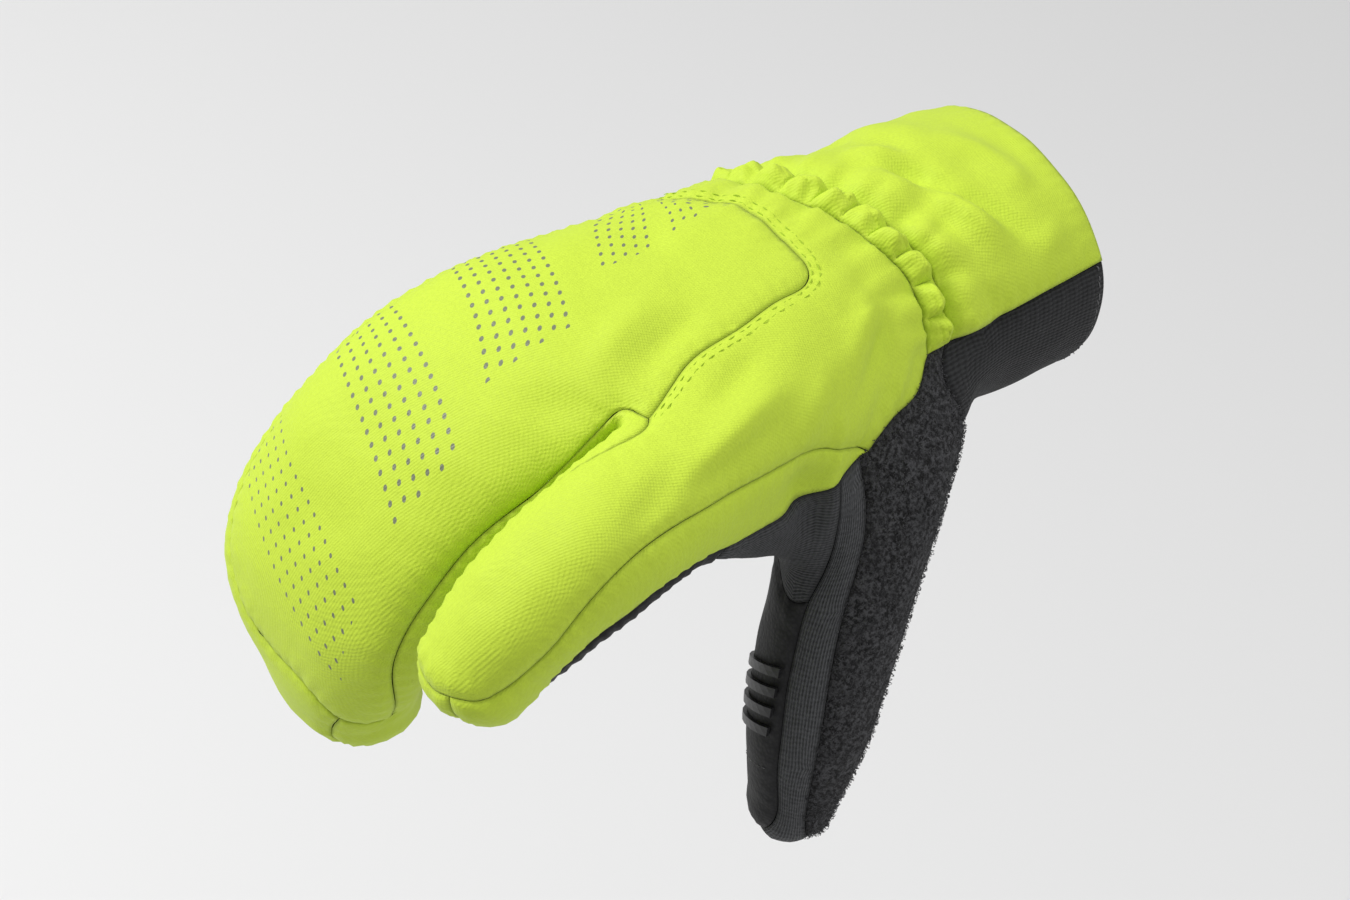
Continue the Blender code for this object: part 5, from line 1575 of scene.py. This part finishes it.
class MITTEN_OT_stage(bpy.types.Operator):
    """Make the floor, the soft lights and the camera"""
    bl_idname = "mitten.stage"
    bl_label = "Stage"

    def execute(self, context):
        corners = np.array([(-1, -1), (1, -1), (1, 1), (-1, 1)]) * FLOOR_REACH
        floor = mesh_object("floor", np.c_[corners, np.full(4, FLOOR_HEIGHT)], [(0, 1, 2, 3)])
        floor.data.materials.append(floor_material("floor", (0.78, 0.78, 0.78, 1.0)))
        world = bpy.data.worlds.new("studio")
        world.use_nodes = True
        sky = world.node_tree.nodes["Background"]
        sky.inputs["Color"].default_value = (1, 1, 1, 1)
        sky.inputs["Strength"].default_value = SKY_STRENGTH
        context.scene.world = world
        context.scene.view_settings.view_transform = "Standard"
        context.scene.view_settings.look = "None"
        for name, place, power, size in LIGHTS:
            light = bpy.data.lights.new(name, "AREA")
            light.energy, light.size = power, size
            lamp = bpy.data.objects.new(name, light)
            lamp.location = place
            lamp.rotation_euler = (LOOK_AT - Vector(place)).to_track_quat("-Z", "Y").to_euler()
            context.scene.collection.objects.link(lamp)
        make_camera(context)
        return {"FINISHED"}


FLOOR_REACH = 12.0
FLOOR_HEIGHT = -0.55
SKY_STRENGTH = 0.42

# Lights: name, place, power in watts and size; all face one point
LOOK_AT = Vector((0.10, 0.01, -0.02))
LIGHTS = (
    ("key", (1.05, -0.95, 1.0), 26.0, 0.8),
    ("fill", (-0.7, 1.0, 0.8), 6.0, 1.2),
    ("top", (0.0, 0.1, 1.6), 7.0, 1.4),
)

# Camera's axes, its distance from the target, and how far the target lies from the picture's middle
CAMERA_UP = (-0.304, -0.626, 0.718)
CAMERA_BACK = (0.485, 0.548, 0.682)
CAMERA_DISTANCE = 1.0
CAMERA_SHIFT = (0.0933, 0.056)
CAMERA_TARGET = (0.0, 0.006, 0.0)


def make_camera(context):
    """A long lens at the photograph's angle; the target sits right of and above the middle."""
    back = np.array(CAMERA_BACK) / np.linalg.norm(CAMERA_BACK)
    right = np.cross(CAMERA_UP, back)
    right /= np.linalg.norm(right)
    up = np.cross(back, right)
    place = (np.array(CAMERA_TARGET) - right * CAMERA_SHIFT[0] - up * CAMERA_SHIFT[1]
             + back * CAMERA_DISTANCE)
    camera = bpy.data.cameras.new("camera")
    camera.lens, camera.sensor_width, camera.clip_end = 100.0, 36.0, 60.0
    holder = bpy.data.objects.new("camera", camera)
    turned = Matrix(np.stack([right, up, back], -1).tolist()).to_4x4()
    holder.matrix_world = Matrix.Translation(place.tolist()) @ turned
    context.scene.collection.objects.link(holder)
    context.scene.camera = holder


class MITTEN_PT_panel(bpy.types.Panel):
    """Lists the mitten's pieces"""
    bl_label = "Winter mitten"
    bl_idname = "MITTEN_PT_panel"
    bl_space_type = "VIEW_3D"
    bl_region_type = "UI"
    bl_category = "Mitten"

    def draw(self, context):
        layout = self.layout
        for group in (context.scene.mitten_shape, context.scene.mitten_colours):
            for key in group.bl_rna.properties.keys():
                if key not in ("name", "rna_type"):
                    layout.prop(group, key)
        for operator in OPERATORS:
            layout.operator(operator.bl_idname)


OPERATORS = (MITTEN_OT_shell, MITTEN_OT_gather, MITTEN_OT_palm, MITTEN_OT_knit, MITTEN_OT_terry, MITTEN_OT_bars,
             MITTEN_OT_stitches, MITTEN_OT_stage)
CLASSES = (MittenShape, MittenColours, *OPERATORS, MITTEN_PT_panel)


def register():
    for made in CLASSES:
        bpy.utils.register_class(made)
    bpy.types.Scene.mitten_shape = bpy.props.PointerProperty(type=MittenShape)
    bpy.types.Scene.mitten_colours = bpy.props.PointerProperty(type=MittenColours)


def unregister():
    del bpy.types.Scene.mitten_shape
    del bpy.types.Scene.mitten_colours
    for made in reversed(CLASSES):
        bpy.utils.unregister_class(made)


def main():
    register()
    MIDDLES.update(seam_middles())
    bpy.ops.mitten.shell()
    bpy.ops.mitten.gather()
    bpy.ops.mitten.palm()
    bpy.ops.mitten.knit()
    bpy.ops.mitten.terry()
    bpy.ops.mitten.bars()
    bpy.ops.mitten.stitches()
    bpy.ops.mitten.stage()


if __name__ == "__main__":
    main()
